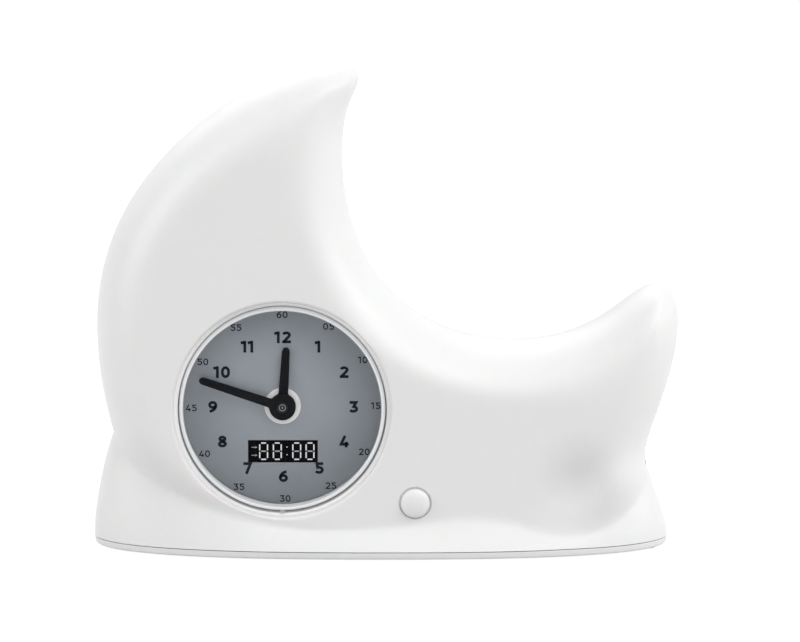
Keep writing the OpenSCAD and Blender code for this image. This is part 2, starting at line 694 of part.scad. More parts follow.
module front_button() {
    dome = 1.8;
    color([0.95, 0.95, 0.94]) at_xz(button_at) {
        bar(button_r, face_y - 1, guide_end + 0.2);
        bar(button_r + button_gap + guide_t - 0.6, guide_end + 0.2, guide_end + 1.4);
        translate([0, face_y - 1, 0]) rotate([90, 0, 0])
            rotate_extrude() intersection() {
                scale([1, dome / button_r]) circle(button_r, $fn = 96);
                square([button_r, dome]);
            }
    }
}
module front_plunger() {
    color([0.2, 0.2, 0.2]) at_xz(button_at) bar(stem_r, guide_end + 1.4, switch_y + 0.8);
}
module front_switch() {
    color([0.15, 0.15, 0.16]) at_xz(button_at) difference() {
        box([-switch_w / 2, switch_w / 2], [switch_y, switch_board_y], [-switch_w / 2, switch_w / 2]);
        bar(stem_r + 0.1, switch_y - 1, switch_y + 0.8 + button_travel + 0.4);
    }
}
module switch_board() {
    color([0.1, 0.35, 0.2]) at_xz(button_at) difference() {
        plate(switch_board_y, switch_board_y + board_t) for (p = switch_posts)
            translate(p / 2) square([board_arm + abs(p[0]), board_arm + abs(p[1])], center = true);
        for (p = switch_posts) at_xz(p) bar(small_hole_r, switch_board_y - 1, switch_board_y + 3);
    }
}

// ---------- Setting buttons ----------

// A round button that shows 1 mm at the back, with its flange and stem
module setting_button(p) {
    stop = moon_depth / 2 - wall - clear;
    color([0.85, 0.85, 0.84]) at_xz(p) {
        bar(setting_r, stop, moon_depth / 2 + 1);
        bar(setting_r + setting_flange, stop - setting_flange, stop);
        bar(setting_stem_r, setting_board_y + board_t + setting_in, stop - setting_flange);
    }
}
module mode_button() { setting_button(setting_at[0]); }
module plus_button() { setting_button(setting_at[1]); }
module minus_button() { setting_button(setting_at[2]); }
module rear_switches() {
    y = setting_board_y + board_t;
    color([0.15, 0.15, 0.16]) for (p = setting_at) at_xz(p) difference() {
        box([-switch_w / 2, switch_w / 2], [y, y + switch_t], [-switch_w / 2, switch_w / 2]);
        bar(setting_stem_r + 0.2, y + setting_in - setting_travel - 0.4, y + 5);
    }
}
module rear_button_board() {
    color([0.1, 0.35, 0.2]) difference() {
        at_xz([setting_x, setting_z]) plate(setting_board_y, setting_board_y + board_t)
            rounded(2 * setting_post_x + 6, 10, 1.5);
        for (p = setting_posts) at_xz(p) bar(small_hole_r, setting_board_y - 1, setting_board_y + 3);
    }
}

// ---------- Night light ----------

frame_margin = 13;
frame_low = 26;
frame_right = 70;
frame_path = concat([for (i = [8 : 18]) outer_edge(i, frame_margin)],
                    [[frame_margin - moon_back_x, frame_low], [frame_right, frame_low]],
                    [for (i = [56 : -2 : 8]) bite_edge(i, frame_margin)]);
module light_frame() {
    color([0.96, 0.96, 0.96]) difference() {
        plate(frame_y, frame_y + frame_t) polygon(frame_path);
        for (p = posts) at_xz(p) bar(post_r + 0.5, frame_y - 1, frame_y + frame_t + 1);
        for (p = frame_posts) at_xz(p) bar(hole_r, frame_y - 1, frame_y + frame_t + 1);
        at_xz(knob_at) bar(knob_stem_r + 1, frame_y - 1, frame_y + frame_t + 1);
    }
}
light_w = 9;
light_len = 56;
led_w = 5;
led_pitch = 11;
led_t = 1.6;
lights = [[[-60, 106], 58], [[38, 42], 4]];
module light_boards() {
    color([0.92, 0.92, 0.9]) for (l = lights) at_xz(l[0]) rotate([0, -l[1], 0])
        box([-light_len / 2, light_len / 2], [frame_y - 1, frame_y], [-light_w / 2, light_w / 2]);
}
module night_leds() {
    color([0.98, 0.9, 0.6]) for (l = lights, k = [-2 : 2]) at_xz(l[0]) rotate([0, -l[1], 0])
        translate([k * led_pitch, 0, 0])
            box([-led_w / 2, led_w / 2], [frame_y - 1 - led_t, frame_y - 1], [-led_w / 2, led_w / 2]);
}

// ---------- Electronics ----------

// Square chips on the main board: corner, size and height
chips = [[2, 9, 8, 1.2], [23, 6, 6, 1.2], [59.5, 12.5, 5, 2]];
module main_board() {
    color([0.1, 0.35, 0.2]) difference() {
        box(main_x, main_y, [main_board_z, main_board_z + main_board_t]);
        for (p = standoffs) translate([p[0], p[1], main_board_z - 1]) cylinder(r = small_hole_r, h = 4);
    }
    color([0.1, 0.1, 0.1]) for (c = chips)
        translate([main_x[0] + c[0], main_y[0] + c[1], main_board_z + main_board_t])
            cube([c[2], c[2], c[3]]);
}
module usb_socket() {
    color([0.75, 0.76, 0.78]) at_xz([usb_x, usb_z]) difference() {
        plate(moon_depth / 2 - usb_len, moon_depth / 2) rounded(usb_w, usb_h, 1.6);
        plate(moon_depth / 2 - usb_len + 1, moon_depth / 2 + 1) rounded(usb_w - 0.6, usb_h - 0.6, 1.3);
    }
}
module speaker() {
    color([0.2, 0.2, 0.21]) at_xz(speaker_at) {
        tube(speaker_r, speaker_r - 1.6, speaker_y, speaker_face);
        bar(speaker_r - 1, basket_y, speaker_y);
        bar(speaker_r * 0.55, magnet_y, basket_y);
    }
}
module speaker_cone() {
    color([0.12, 0.12, 0.12]) at_xz(speaker_at) translate([0, speaker_y, 0]) rotate([-90, 0, 0])
        difference() {
            cylinder(r = speaker_r - 1.8, h = 2.4);
            translate([0, 0, 0.6]) cylinder(r1 = 4, r2 = speaker_r - 2.4, h = 2.4);
        }
}

// ---------- Battery bay ----------

module battery_box() {
    color([0.9, 0.9, 0.88]) difference() {
        bay_block(bay_wall, [plate_top, bay_top]);
        bay_block(0, [plate_top - 1, bay_top - bay_wall]);
    }
    color([0.9, 0.9, 0.88]) translate([door_screw_x, 0, plate_top + 1]) difference() {
        cylinder(r = 2.4, h = bay_top - plate_top - 2);
        translate([0, 0, -1]) cylinder(r = pilot_r, h = 9);
    }
}
function cell_y(k) = (k - (cells - 1) / 2) * cell_pitch;
cell_z = plate_top + cell_r + 0.7;
spring_t = 1.7;
contact_t = 0.6;
contact_w = 7;
pip_r = 1.9;
module batteries() {
    color([0.75, 0.6, 0.2]) for (k = [0 : cells - 1])
        translate([bay_x + clear + spring_t, cell_y(k), cell_z]) rotate([0, 90, 0]) {
            cylinder(r = cell_r, h = cell_len - 1);
            translate([0, 0, cell_len - 1]) cylinder(r = pip_r, h = 1);
        }
}
module battery_contacts() {
    color([0.8, 0.8, 0.82]) for (k = [0 : cells - 1], e = [0, 1])
        translate([bay_x + (e == 0 ? clear : clear + spring_t + cell_len), cell_y(k), cell_z])
            translate([0, -contact_w / 2, -contact_w / 2])
                cube([e == 0 ? spring_t : contact_t, contact_w, contact_w]);
}
module battery_door() {
    color([0.9, 0.9, 0.88]) difference() {
        bay_block(-clear, [base_z + door_up, base_z + door_up + door_t]);
        translate([door_screw_x, 0, 0]) cylinder(r = hole_r, h = 8);
        translate([door_screw_x, 0, base_z + door_up]) cylinder(r1 = head_r - 0.2, r2 = hole_r, h = 1);
    }
}
module door_screw() {
    color([0.7, 0.71, 0.72]) translate([door_screw_x, 0, base_z + door_up + 0.1]) {
        cylinder(r1 = head_r - 0.4, r2 = screw_r, h = 1);
        cylinder(r = screw_r, h = 6);
    }
}

// ---------- Hand-setting knob ----------

knob_r = 6;
knob_y = moon_depth / 2 + 0.5;
knob_t = 5;
grips = 18;
wheel_r = 6.5;
wheel_back = movement_back + 2.4;
module hand_set_knob() {
    color([0.85, 0.85, 0.84]) at_xz(knob_at) difference() {
        bar(knob_r, knob_y, knob_y + knob_t);
        for (k = [1 : grips]) rotate([0, 360 * k / grips, 0]) translate([knob_r + clear, 0, 0])
            bar(0.6, knob_y + 1, knob_y + knob_t + 1);
    }
}
module set_stem() {
    color([0.85, 0.85, 0.84]) at_xz(knob_at) bar(knob_stem_r, wheel_back, knob_y);
}
module set_wheel() {
    color([0.85, 0.3, 0.25]) at_xz(knob_at) bar(wheel_r, movement_back + clear, wheel_back);
}

front_shell();
rear_shell();
base_plate();
rubber_feet();
base_screws();
shell_screws();
dial_lens();
dial_housing();
dial_plate();
centre_ring();
dial_screws();
hour_hand();
hour_tube();
minute_hand();
minute_arbor();
hand_cap();
movement_case();
movement_bush();
bush_nut();
display_module();
display_board();
front_button();
front_plunger();
front_switch();
switch_board();
mode_button();
plus_button();
minus_button();
rear_switches();
rear_button_board();
light_frame();
light_boards();
night_leds();
main_board();
usb_socket();
speaker();
speaker_cone();
battery_box();
batteries();
battery_contacts();
battery_door();
door_screw();
hand_set_knob();
set_stem();
set_wheel();
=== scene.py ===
"""Finish and fine surfaces of a crescent-moon bedside clock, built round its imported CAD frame.

Numbers are in millimetres and in the frame of the CAD part, but properties with a unit, lamps
and the camera are in metres. add_mesh() turns the finished points into metres.
"""

import math

import bmesh
import bpy
import numpy as np
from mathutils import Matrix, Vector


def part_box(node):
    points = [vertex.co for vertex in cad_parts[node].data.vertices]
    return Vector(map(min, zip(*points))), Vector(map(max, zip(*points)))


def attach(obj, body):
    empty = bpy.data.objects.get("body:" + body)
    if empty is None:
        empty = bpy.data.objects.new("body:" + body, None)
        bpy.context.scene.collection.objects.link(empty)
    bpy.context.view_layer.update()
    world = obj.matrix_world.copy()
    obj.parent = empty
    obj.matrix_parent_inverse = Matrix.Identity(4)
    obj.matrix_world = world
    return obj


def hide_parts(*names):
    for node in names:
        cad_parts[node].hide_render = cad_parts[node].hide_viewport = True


bl_info = {
    "name": "Crescent night-light clock",
    "version": (1, 0, 0),
    "blender": (4, 5, 0),
    "location": "View3D > Sidebar > Moon Clock",
    "description": "Shells, dial print, hands, lens, buttons, finishes and stage of the clock",
    "category": "Object",
}

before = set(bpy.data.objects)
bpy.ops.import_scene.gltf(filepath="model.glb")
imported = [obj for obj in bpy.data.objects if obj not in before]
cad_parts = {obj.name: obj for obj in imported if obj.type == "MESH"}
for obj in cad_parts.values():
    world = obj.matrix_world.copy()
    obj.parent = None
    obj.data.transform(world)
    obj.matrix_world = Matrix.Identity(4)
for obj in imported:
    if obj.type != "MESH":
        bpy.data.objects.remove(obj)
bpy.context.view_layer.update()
MM = 0.001


# ---------- Places taken from the frame ----------


def node_box(node):
    """Lowest and highest corner of a CAD node in millimetres."""
    low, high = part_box(node)
    return np.array(low) / MM, np.array(high) / MM


def node_middle(node):
    """Centre of a CAD node's box in millimetres."""
    low, high = node_box(node)
    return (low + high) / 2


SHELL_LOW, SHELL_HIGH = node_box("front_shell")
DIAL_LOW, DIAL_HIGH = node_box("dial_plate")
DIAL = node_middle("dial_plate")
DIAL_FACE = DIAL_LOW[1]
DIAL_R = (DIAL_HIGH[0] - DIAL_LOW[0]) / 2
LENS_LOW, LENS_HIGH = node_box("dial_lens")
LENS_R = (LENS_HIGH[0] - LENS_LOW[0]) / 2 - 0.2
BUTTON = node_middle("front_button")
KNOB = node_middle("hand_set_knob")
MODE, PLUS, MINUS = (node_middle(n) for n in ("mode_button", "plus_button", "minus_button"))
SOCKET = node_middle("usb_socket")
SPEAKER = node_middle("speaker")

WALL = 2.5
HALF_DEPTH = 30.0
FACE_Y = -HALF_DEPTH
EDGE_R = 17.0
PLINTH_HALF = 37.0
PLINTH_POWER = 2.5
SHELL_Z = SHELL_LOW[2]
LEFT, RIGHT = -102.4, 99.2
HOLLOW, HOLLOW_SIZE = (67.5, 23.0), (14.0, 9.0)
HOLLOW_TURN, HOLLOW_DEPTH = math.radians(66), 3.0


# ---------- Outline of the moon and its plinth, in X and Z ----------

HORN_TOP = np.array([-19.0, SHELL_HIGH[2]])
HORN_TIP = HORN_TOP + [9.6, -5.7]
BACK = np.array([-100.8, 78.1])
NOTCH_L = np.array([-95.4, 39.7])
FOOT_L = np.array([LEFT, SHELL_Z])
FOOT_R = np.array([RIGHT, SHELL_Z])
NOTCH_R = np.array([91.2, 32.0])
HORN_R = np.array([102.4, 79.0])
HORN_R_TOP = np.array([95.1, 91.6])
BITE_LOW = np.array([45.0, 71.9])
BITE_LEFT = np.array([-14.9, HORN_TOP[1] - 31.7])
BELLY_LOW = np.array([-10.0, -6.0])


def stretch(a, b_off, c_off, d):
    """Cubic from a to d, whose handles stand off a and d by b_off and c_off."""
    return np.array([a, a + b_off, d + c_off, d], float)


CURVE = {
    "tip_l": stretch(HORN_TOP, [5, 0], [0, 4], HORN_TIP),
    "tip_r": stretch(HORN_R_TOP, [5, 0], [0, 7], HORN_R),
    "back_top": stretch(HORN_TOP, [-15.5, 0], [0, (HORN_TOP[1] - BACK[1]) * 0.68], BACK),
    "back_low": stretch(BACK, [0, -18], [-2.4, 10], NOTCH_L),
    "plinth_l": stretch(NOTCH_L, [-2.6, -7], [0, 12], FOOT_L),
    "foot": stretch(FOOT_L, (FOOT_R - FOOT_L) / 3, (FOOT_L - FOOT_R) / 3, FOOT_R),
    "plinth_r": stretch(FOOT_R, [0, 8], [0, -8], NOTCH_R),
    "side_r": stretch(NOTCH_R, [0, 8], [0, -19], HORN_R),
    "belly_left": stretch(NOTCH_L, [6, -18], [-50, 0], BELLY_LOW),
    "belly_right": stretch(BELLY_LOW, [66, 0], [3, -28], NOTCH_R),
    "bite_top": stretch(HORN_TIP, [0, -5.3], [0, 17.6], BITE_LEFT),
    "bite_mid": stretch(BITE_LEFT, [0, -42], [-35, 0], BITE_LOW),
    "bite_end": stretch(BITE_LOW, [32, 0], [-10.6, 0], HORN_R_TOP),
}

# The outer side goes from the tall tip round the back and the foot to the short tip, and the
# inner side from the tall tip round the bite: (curve, where it starts, where it ends)
OUTER = [("tip_l", 0.5, 0), ("back_top", 0, 1), ("back_low", 0, 1), ("plinth_l", 0, 1),
         ("foot", 0, 1), ("plinth_r", 0, 1), ("side_r", 0, 1), ("tip_r", 1, 0.5)]
BITE = [("tip_l", 0.5, 1), ("bite_top", 0, 1), ("bite_mid", 0, 1), ("bite_end", 0, 1),
        ("tip_r", 0, 0.5)]
MOON_OUTER = [("tip_l", 0.5, 0), ("back_top", 0, 1), ("back_low", 0, 1), ("belly_left", 0, 1),
              ("belly_right", 0, 1), ("side_r", 0, 1), ("tip_r", 1, 0.5)]

# At each key column of the surface the outer side pairs with a place on the bite
KEY_COLUMN = [0, 3, 19, 25, 30, 56, 60, 69, 72]
KEY_BITE = [0, 1, 2.40, 2.52, 2.66, 3.22, 3.55, 4, 5]


def cubic(curve, t):
    """Points a(1-t)^3 + 3b t(1-t)^2 + 3c t^2(1-t) + d t^3 of a cubic, one for each t."""
    a, b, c, d = curve
    t = np.asarray(t, float)[:, None]
    return a * (1 - t) ** 3 + 3 * b * t * (1 - t) ** 2 + 3 * c * t * t * (1 - t) + d * t ** 3


def along(side, q):
    """Points at q along joined stretches; each whole number starts the next stretch."""
    q = np.asarray(q, float)
    which = np.minimum(q.astype(int), len(side) - 1)
    points = np.empty((len(q), 2))
    for k, (name, start, end) in enumerate(side):
        here = which == k
        share = q[here] - k
        if name == "foot":
            share = (1 - np.cos(np.pi * share)) / 2
        points[here] = cubic(CURVE[name], start + (end - start) * share)
    return points


def inward(side, q, turn):
    """Unit vectors across a side, turned a quarter from the chord between q - 0.02 and q + 0.02."""
    nudge = 0.02
    step = along(side, np.minimum(q + nudge, len(side))) - along(side, np.maximum(q - nudge, 0))
    step /= np.linalg.norm(step, axis=1)[:, None]
    return turn * np.column_stack([-step[:, 1], step[:, 0]])


def line_of(side, steps=70):
    """A side as a polyline of short chords."""
    return along(side, np.linspace(0, len(side), len(side) * steps + 1))


def gap_to(points, line, signed=False):
    """Distance of points from a polyline, and with its sign positive on the line's left."""
    a, ab = line[:-1], np.diff(line, axis=0)
    length2 = (ab ** 2).sum(1)
    out = np.empty(len(points))
    for first in range(0, len(points), 4096):
        p = points[first:first + 4096, None, :] - a[None]
        share = np.clip((p * ab).sum(2) / length2, 0, 1)
        off = p - share[..., None] * ab
        d2 = (off ** 2).sum(2)
        best = d2.argmin(1)
        rows = np.arange(len(best))
        d = np.sqrt(d2[rows, best])
        if signed:
            side = ab[best, 0] * p[rows, best, 1] - ab[best, 1] * p[rows, best, 0]
            d = d * np.sign(side)
        out[first:first + 4096] = d
    return out


MOON_LINE = line_of(MOON_OUTER)
BITE_LINE = line_of(BITE)


def ramp(a, b, v):
    """Smooth step h^2 (3 - 2h) from 0 at a to 1 at b."""
    h = np.clip((v - a) / (b - a), 0, 1)
    return h * h * (3 - 2 * h)


def moon_depth(points, t):
    """Half depth of the moon, (30 - t) sqrt(1 - h^2): h falls from 1 at an edge to 0 over the
    edge radius, measured by the joint distance s = 1 / sqrt(1/o^2 + 1/b^2) from both sides."""
    o = gap_to(points, MOON_LINE, signed=True) - t
    b = gap_to(points, BITE_LINE) - t
    inside = (o > 0) & (b > 0)
    s = 1 / np.sqrt(1 / np.where(inside, o, 1) ** 2 + 1 / np.where(inside, b, 1) ** 2)
    h = 1 - np.minimum(1, s / (EDGE_R - t))
    return np.where(inside, (HALF_DEPTH - t) * np.sqrt(np.maximum(0, 1 - h * h)), 0)


SIDE_LEFT = cubic(CURVE["plinth_l"], np.linspace(1, 0, 9))
SIDE_RIGHT = np.vstack([cubic(CURVE["plinth_r"], np.linspace(0, 1, 9)),
                        cubic(CURVE["side_r"], np.linspace(0, 1, 9)[1:])])


def plinth_depth(points, t):
    """Half depth of the plinth: the rounded oblong (1 - u^n)^(1/n), n = 2.5, at each level,
    leaning back evenly from the foot to the line where it meets the moon. Its right shoulder,
    g, leans back more slowly above that line and ends lower."""
    x, z = points[:, 0], np.maximum(points[:, 1], SHELL_Z)
    left = np.interp(z, np.r_[SIDE_LEFT[:, 1], 60, 80], np.r_[SIDE_LEFT[:, 0], -86, -70]) + t
    right = np.interp(z, SIDE_RIGHT[:, 1], SIDE_RIGHT[:, 0]) - t
    across = (2 * x - left - right) / (right - left)
    g = ramp(0.2, 0.7, across)
    meet_z = 9.2 + (x + 20) ** 2 * np.where(x < -20, 0.0070, 0.0024)
    meet_y = HALF_DEPTH + 0.5 - 4 * ramp(20, 70, x)
    rise = (z - SHELL_Z) / (meet_z - SHELL_Z)
    lean = (PLINTH_HALF - meet_y) * (rise - np.maximum(0, rise - 1) * g / 2)
    n = PLINTH_POWER
    rounded = np.maximum(0, 1 - np.minimum(np.abs(across), 1) ** n) ** (1 / n)
    return (rounded * np.maximum(0, PLINTH_HALF - t - lean)
            * (1 - ramp(50 - 24 * g, 76 - 16 * g, z)))


def half_depth(points, t=0.0):
    """The deeper of the two, m or q, plus a fillet h^2 k/4 in the valley between them, where
    h = max(0, k - |m - q|) / k. Its size k grows to the right, and goes to nothing with m or q.
    Then the hollow is taken off, an oval dent d exp(-u^2 - v^2) that ends the valley on the
    right."""
    points = np.atleast_2d(np.asarray(points, float))
    m, q = moon_depth(points, t), plinth_depth(points, t)
    thin = 1e-6
    size = 1.2 + 30 * ramp(42, 88, points[:, 0])
    k = 1 / (1 / size + 0.5 / np.maximum(m, thin) + 0.5 / np.maximum(q, thin))
    h = np.maximum(0, k - np.abs(m - q)) / k
    c, s = math.cos(HOLLOW_TURN), math.sin(HOLLOW_TURN)
    u, v = ((points - HOLLOW) @ [[c, -s], [s, c]] / HOLLOW_SIZE).T
    depth = np.maximum(m, q) + h * h * k / 4
    dent = HOLLOW_DEPTH * np.exp(-u ** 2 - v ** 2)
    return np.where(depth > 0, np.maximum(0, depth - dent), 0)


# ---------- Meshes from arrays ----------


def faces_of(index):
    """Quads between neighbours of an index grid; a quad with a repeated corner is a triangle."""
    quads = np.stack([index[:-1, :-1], index[1:, :-1], index[1:, 1:], index[:-1, 1:]], -1)
    quads = quads.reshape(-1, 4)
    same = quads == np.roll(quads, -1, axis=1)
    whole = quads[~same.any(1)].tolist()
    bent = quads[same.sum(1) == 1]
    keep = ~same[same.sum(1) == 1]
    return whole + bent[keep].reshape(-1, 3).tolist()


def volume_of(points, faces):
    """Signed volume of closed faces, as the sum of their fans' tetrahedra with the origin."""
    total = 0.0
    for size in {len(f) for f in faces}:
        some = np.array([f for f in faces if len(f) == size])
        for k in range(1, size - 1):
            a, b, c = points[some[:, 0]], points[some[:, k]], points[some[:, k + 1]]
            total += np.einsum("ij,ij->", a, np.cross(b, c)) / 6
    return total


def outward(points, faces):
    """The same faces, turned over if they enclose a negative volume."""
    return faces if volume_of(points, faces) > 0 else [f[::-1] for f in faces]


def joined(solids):
    """Several (points, faces) solids as one."""
    points, faces, count = [], [], 0
    for p, f in solids:
        points.append(p)
        faces += [[i + count for i in face] for face in f]
        count += len(p)
    return np.vstack(points), faces


def lathe(profile, centre, axis="y", segments=96, ring=False):
    """Solid of revolution: each (radius, height) of the profile turns round the axis through
    centre. A profile that starts and ends on the axis closes at its poles, and a ring's profile
    closes on itself."""
    profile = np.asarray(profile, float)
    if ring:
        profile = np.vstack([profile, profile[:1]])
    angle = np.linspace(0, 2 * np.pi, segments, endpoint=False)
    r, h = profile[:, :1], profile[:, 1:]
    across, up, level = r * np.cos(angle), r * np.sin(angle), h + 0 * angle
    if axis == "y":
        grid = np.stack([centre[0] + across, level, centre[2] + up], -1)
    else:
        grid = np.stack([centre[0] + across, centre[1] + up, level], -1)
    rows = len(profile)
    index = np.arange(rows * segments).reshape(rows, segments)
    if ring:
        index[-1] = index[0]
    pole = profile[:, 0] < 1e-9
    index[pole] = index[pole][:, :1]
    index = np.hstack([index, index[:, :1]])
    used, packed = np.unique(index, return_inverse=True)
    points = grid.reshape(-1, 3)[used]
    faces = faces_of(packed.reshape(index.shape))
    return points, outward(points, faces)


def bar(x, z, radius, y0, y1, segments=48):
    """Round bar along Y from y0 to y1."""
    return lathe([[0, y0], [radius, y0], [radius, y1], [0, y1]], (x, 0, z), "y", segments)


def box_solid(low, high):
    """Box between two corners."""
    x, y, z = (np.array([low[k], high[k]]) for k in range(3))
    points = np.array([[x[i], y[j], z[k]] for i in (0, 1) for j in (0, 1) for k in (0, 1)])
    faces = [[0, 1, 3, 2], [4, 6, 7, 5], [0, 4, 5, 1], [2, 3, 7, 6], [0, 2, 6, 4], [1, 5, 7, 3]]
    return points, outward(points, faces)


def arc(cx, cz, rx, rz, start, end, steps=18):
    """Points of an ellipse from the start to the end angle, in degrees."""
    a = np.radians(np.linspace(start, end, steps))
    return np.column_stack([cx + rx * np.cos(a), cz + rz * np.sin(a)])


def loop(cx, cz, rx, rz, power=2.2, steps=36):
    """Closed rounded oblong |x/rx|^power + |z/rz|^power = 1."""
    a = np.linspace(0, 2 * np.pi, steps, endpoint=False)
    c, s = np.cos(a), np.sin(a)
    return np.column_stack([cx + rx * np.sign(c) * np.abs(c) ** (2 / power),
                            cz + rz * np.sign(s) * np.abs(s) ** (2 / power)])


def quarter(radius, start, steps=6):
    """Offsets of a quarter circle of a radius, from the start angle in degrees."""
    return arc(0, 0, radius, radius, start, start + 90, steps + 1)


def stacked(rings):
    """Solid through rings of as many points each, with flat ends."""
    n = len(rings[0])
    index = np.arange(len(rings) * n).reshape(-1, n)
    ends = [index[0].tolist(), index[-1, ::-1].tolist()]
    points, faces = np.vstack(rings), faces_of(np.hstack([index, index[:, :1]])) + ends
    return points, outward(points, faces)


def ribbon(path, width, y0, y1, closed=False):
    """Flat band in X and Z between depths y0 and y1: the path's points move out by half the
    width along the mitre of its two neighbouring chords."""
    path = np.asarray(path, float)
    if closed:
        before, after = np.roll(path, 1, 0), np.roll(path, -1, 0)
    else:
        before = np.vstack([2 * path[0] - path[1], path[:-1]])
        after = np.vstack([path[1:], 2 * path[-1] - path[-2]])
    d0, d1 = path - before, after - path
    d0 /= np.linalg.norm(d0, axis=1)[:, None]
    d1 /= np.linalg.norm(d1, axis=1)[:, None]
    n0 = np.column_stack([-d0[:, 1], d0[:, 0]])
    mitre = n0 + np.column_stack([-d1[:, 1], d1[:, 0]])
    mitre /= np.linalg.norm(mitre, axis=1)[:, None]
    mitre /= np.maximum(0.5, (mitre * n0).sum(1))[:, None]
    left, right = path + mitre * width / 2, path - mitre * width / 2
    n = len(path)
    corners = np.stack([left, right, right, left], 1)
    depth = np.broadcast_to([y0, y0, y1, y1], (n, 4))
    points = np.stack([corners[..., 0], depth, corners[..., 1]], -1).reshape(-1, 3)
    index = np.arange(4 * n).reshape(n, 4)
    index = np.hstack([index, index[:, :1]])
    if closed:
        index = np.vstack([index, index[:1]])
    faces = faces_of(index)
    if not closed:
        faces += [index[0, :4].tolist(), index[-1, 3::-1].tolist()]
    return points, outward(points, faces)


def add_mesh(name, points, faces):
    """A linked object at the origin, whose mesh holds the points turned into metres."""
    mesh = bpy.data.meshes.new(name)
    mesh.from_pydata((np.asarray(points) * MM).tolist(), [], faces)
    mesh.validate()
    piece = bpy.data.objects.new(name, mesh)
    bpy.context.scene.collection.objects.link(piece)
    return piece


def face_out(piece):
    """The same piece, with the faces of each closed shell turned outwards."""
    shape = bmesh.new()
    shape.from_mesh(piece.data)
    bmesh.ops.recalc_face_normals(shape, faces=shape.faces)
    shape.to_mesh(piece.data)
    shape.free()
    return piece


def combine(piece, solid, operation):
    """Joins a solid to a piece or cuts it away, and keeps the result as the piece's mesh."""
    tool = face_out(add_mesh("tool", *solid))
    step = piece.modifiers.new("combine", "BOOLEAN")
    step.object = tool
    step.operation = operation
    step.solver = "MANIFOLD"
    bpy.context.view_layer.update()
    done = bpy.data.meshes.new_from_object(
        piece.evaluated_get(bpy.context.evaluated_depsgraph_get()))
    piece.modifiers.clear()
    old, piece.data = piece.data, done
    tool_mesh = tool.data
    bpy.data.objects.remove(tool)
    bpy.data.meshes.remove(old)
    bpy.data.meshes.remove(tool_mesh)
    if not done.polygons:
        raise RuntimeError(f"{piece.name} came out empty")


def smooth(piece, angle=35):
    """Smooth shading, with creases kept where faces meet at more than the angle in degrees."""
    piece.data.shade_smooth()
    piece.data.set_sharp_from_angle(angle=math.radians(angle))


def finished(piece, body, slot, material, *nodes):
    """Gives a piece its finish and its body, and hides the CAD nodes that it stands for."""
    piece.data.materials.clear()
    piece.data.materials.append(bpy.data.materials[material])
    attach(piece, body)
    if nodes:
        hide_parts(*nodes)
    return piece


# ---------- Node materials ----------


class Finish:
    """A procedural material on Object coordinates, built node by node. Its scales are in cells
    per metre and its bumps in metres."""

    def __init__(self, name):
        self.material = bpy.data.materials.new(name)
        self.material.use_nodes = True
        self.tree = self.material.node_tree
        self.shader = self.tree.nodes["Principled BSDF"]
        self.place = self.tree.nodes.new("ShaderNodeTexCoord").outputs["Object"]

    def set(self, **values):
        """Sets plain values on the shader's own sockets."""
        for socket, value in values.items():
            self.shader.inputs[socket.replace("_", " ")].default_value = value
        return self

    def link(self, source, socket):
        """Feeds one of the shader's sockets."""
        self.tree.links.new(source, self.shader.inputs[socket])

    def noise(self, scale, detail=3.0):
        """Cloudy noise."""
        node = self.tree.nodes.new("ShaderNodeTexNoise")
        node.inputs["Scale"].default_value = scale
        node.inputs["Detail"].default_value = detail
        self.tree.links.new(self.place, node.inputs["Vector"])
        return node.outputs["Fac"]

    def maths(self, operation, a, b):
        """Two values joined by an operation."""
        node = self.tree.nodes.new("ShaderNodeMath")
        node.operation = operation
        self.tree.links.new(a, node.inputs[0])
        self.tree.links.new(b, node.inputs[1])
        return node.outputs[0]

    def spread(self, source, low, high, start=0.3, end=0.7):
        """Maps start..end of a value to low..high."""
        node = self.tree.nodes.new("ShaderNodeMapRange")
        for socket, value in zip(("From Min", "From Max", "To Min", "To Max"),
                                 (start, end, low, high)):
            node.inputs[socket].default_value = value
        self.tree.links.new(source, node.inputs["Value"])
        return node.outputs["Result"]

    def mix(self, share, a, b):
        """Colour from a to b by a share."""
        node = self.tree.nodes.new("ShaderNodeMix")
        node.data_type = "RGBA"
        node.clamp_factor = True
        ends = [socket for socket in node.inputs if socket.type == "RGBA"]
        for socket, colour in zip(ends, (a, b)):
            socket.default_value = (*colour[:3], 1)
        self.tree.links.new(share, node.inputs["Factor"])
        return next(o for o in node.outputs if o.type == "RGBA")

    def distance_from(self, x, z):
        """Distance in millimetres from the line along Y through x and z."""
        moved = self.tree.nodes.new("ShaderNodeMapping")
        moved.inputs["Location"].default_value = (-x, 0, -z)
        moved.inputs["Scale"].default_value = (1 / MM, 0, 1 / MM)
        self.tree.links.new(self.place, moved.inputs["Vector"])
        off = self.tree.nodes.new("ShaderNodeVectorMath")
        off.operation = "LENGTH"
        self.tree.links.new(moved.outputs["Vector"], off.inputs[0])
        return off.outputs["Value"]

    def bump(self, height, strength, distance):
        """Relief from a height."""
        node = self.tree.nodes.new("ShaderNodeBump")
        node.inputs["Strength"].default_value = strength
        node.inputs["Distance"].default_value = distance
        self.tree.links.new(height, node.inputs["Height"])
        self.link(node.outputs["Normal"], "Normal")


def tinted(colour, factor):
    """A colour made lighter or darker by a factor."""
    return tuple(min(1.0, c * factor) for c in colour[:3])


def moulded(name, colour, roughness=0.42, cloud=0.02, grain=1400, depth=0.00002, **values):
    """Moulded plastic: faint clouds in its colour, roughness that wanders, fine grain."""
    finish = Finish(name)
    finish.link(finish.mix(finish.spread(finish.noise(18), 0, 1), tinted(colour, 1 - cloud),
                           tinted(colour, 1 + cloud)), "Base Color")
    finish.link(finish.spread(finish.noise(90), roughness - 0.04, roughness + 0.04), "Roughness")
    finish.bump(finish.noise(grain, 2), 0.25, depth)
    return finish.set(**values)


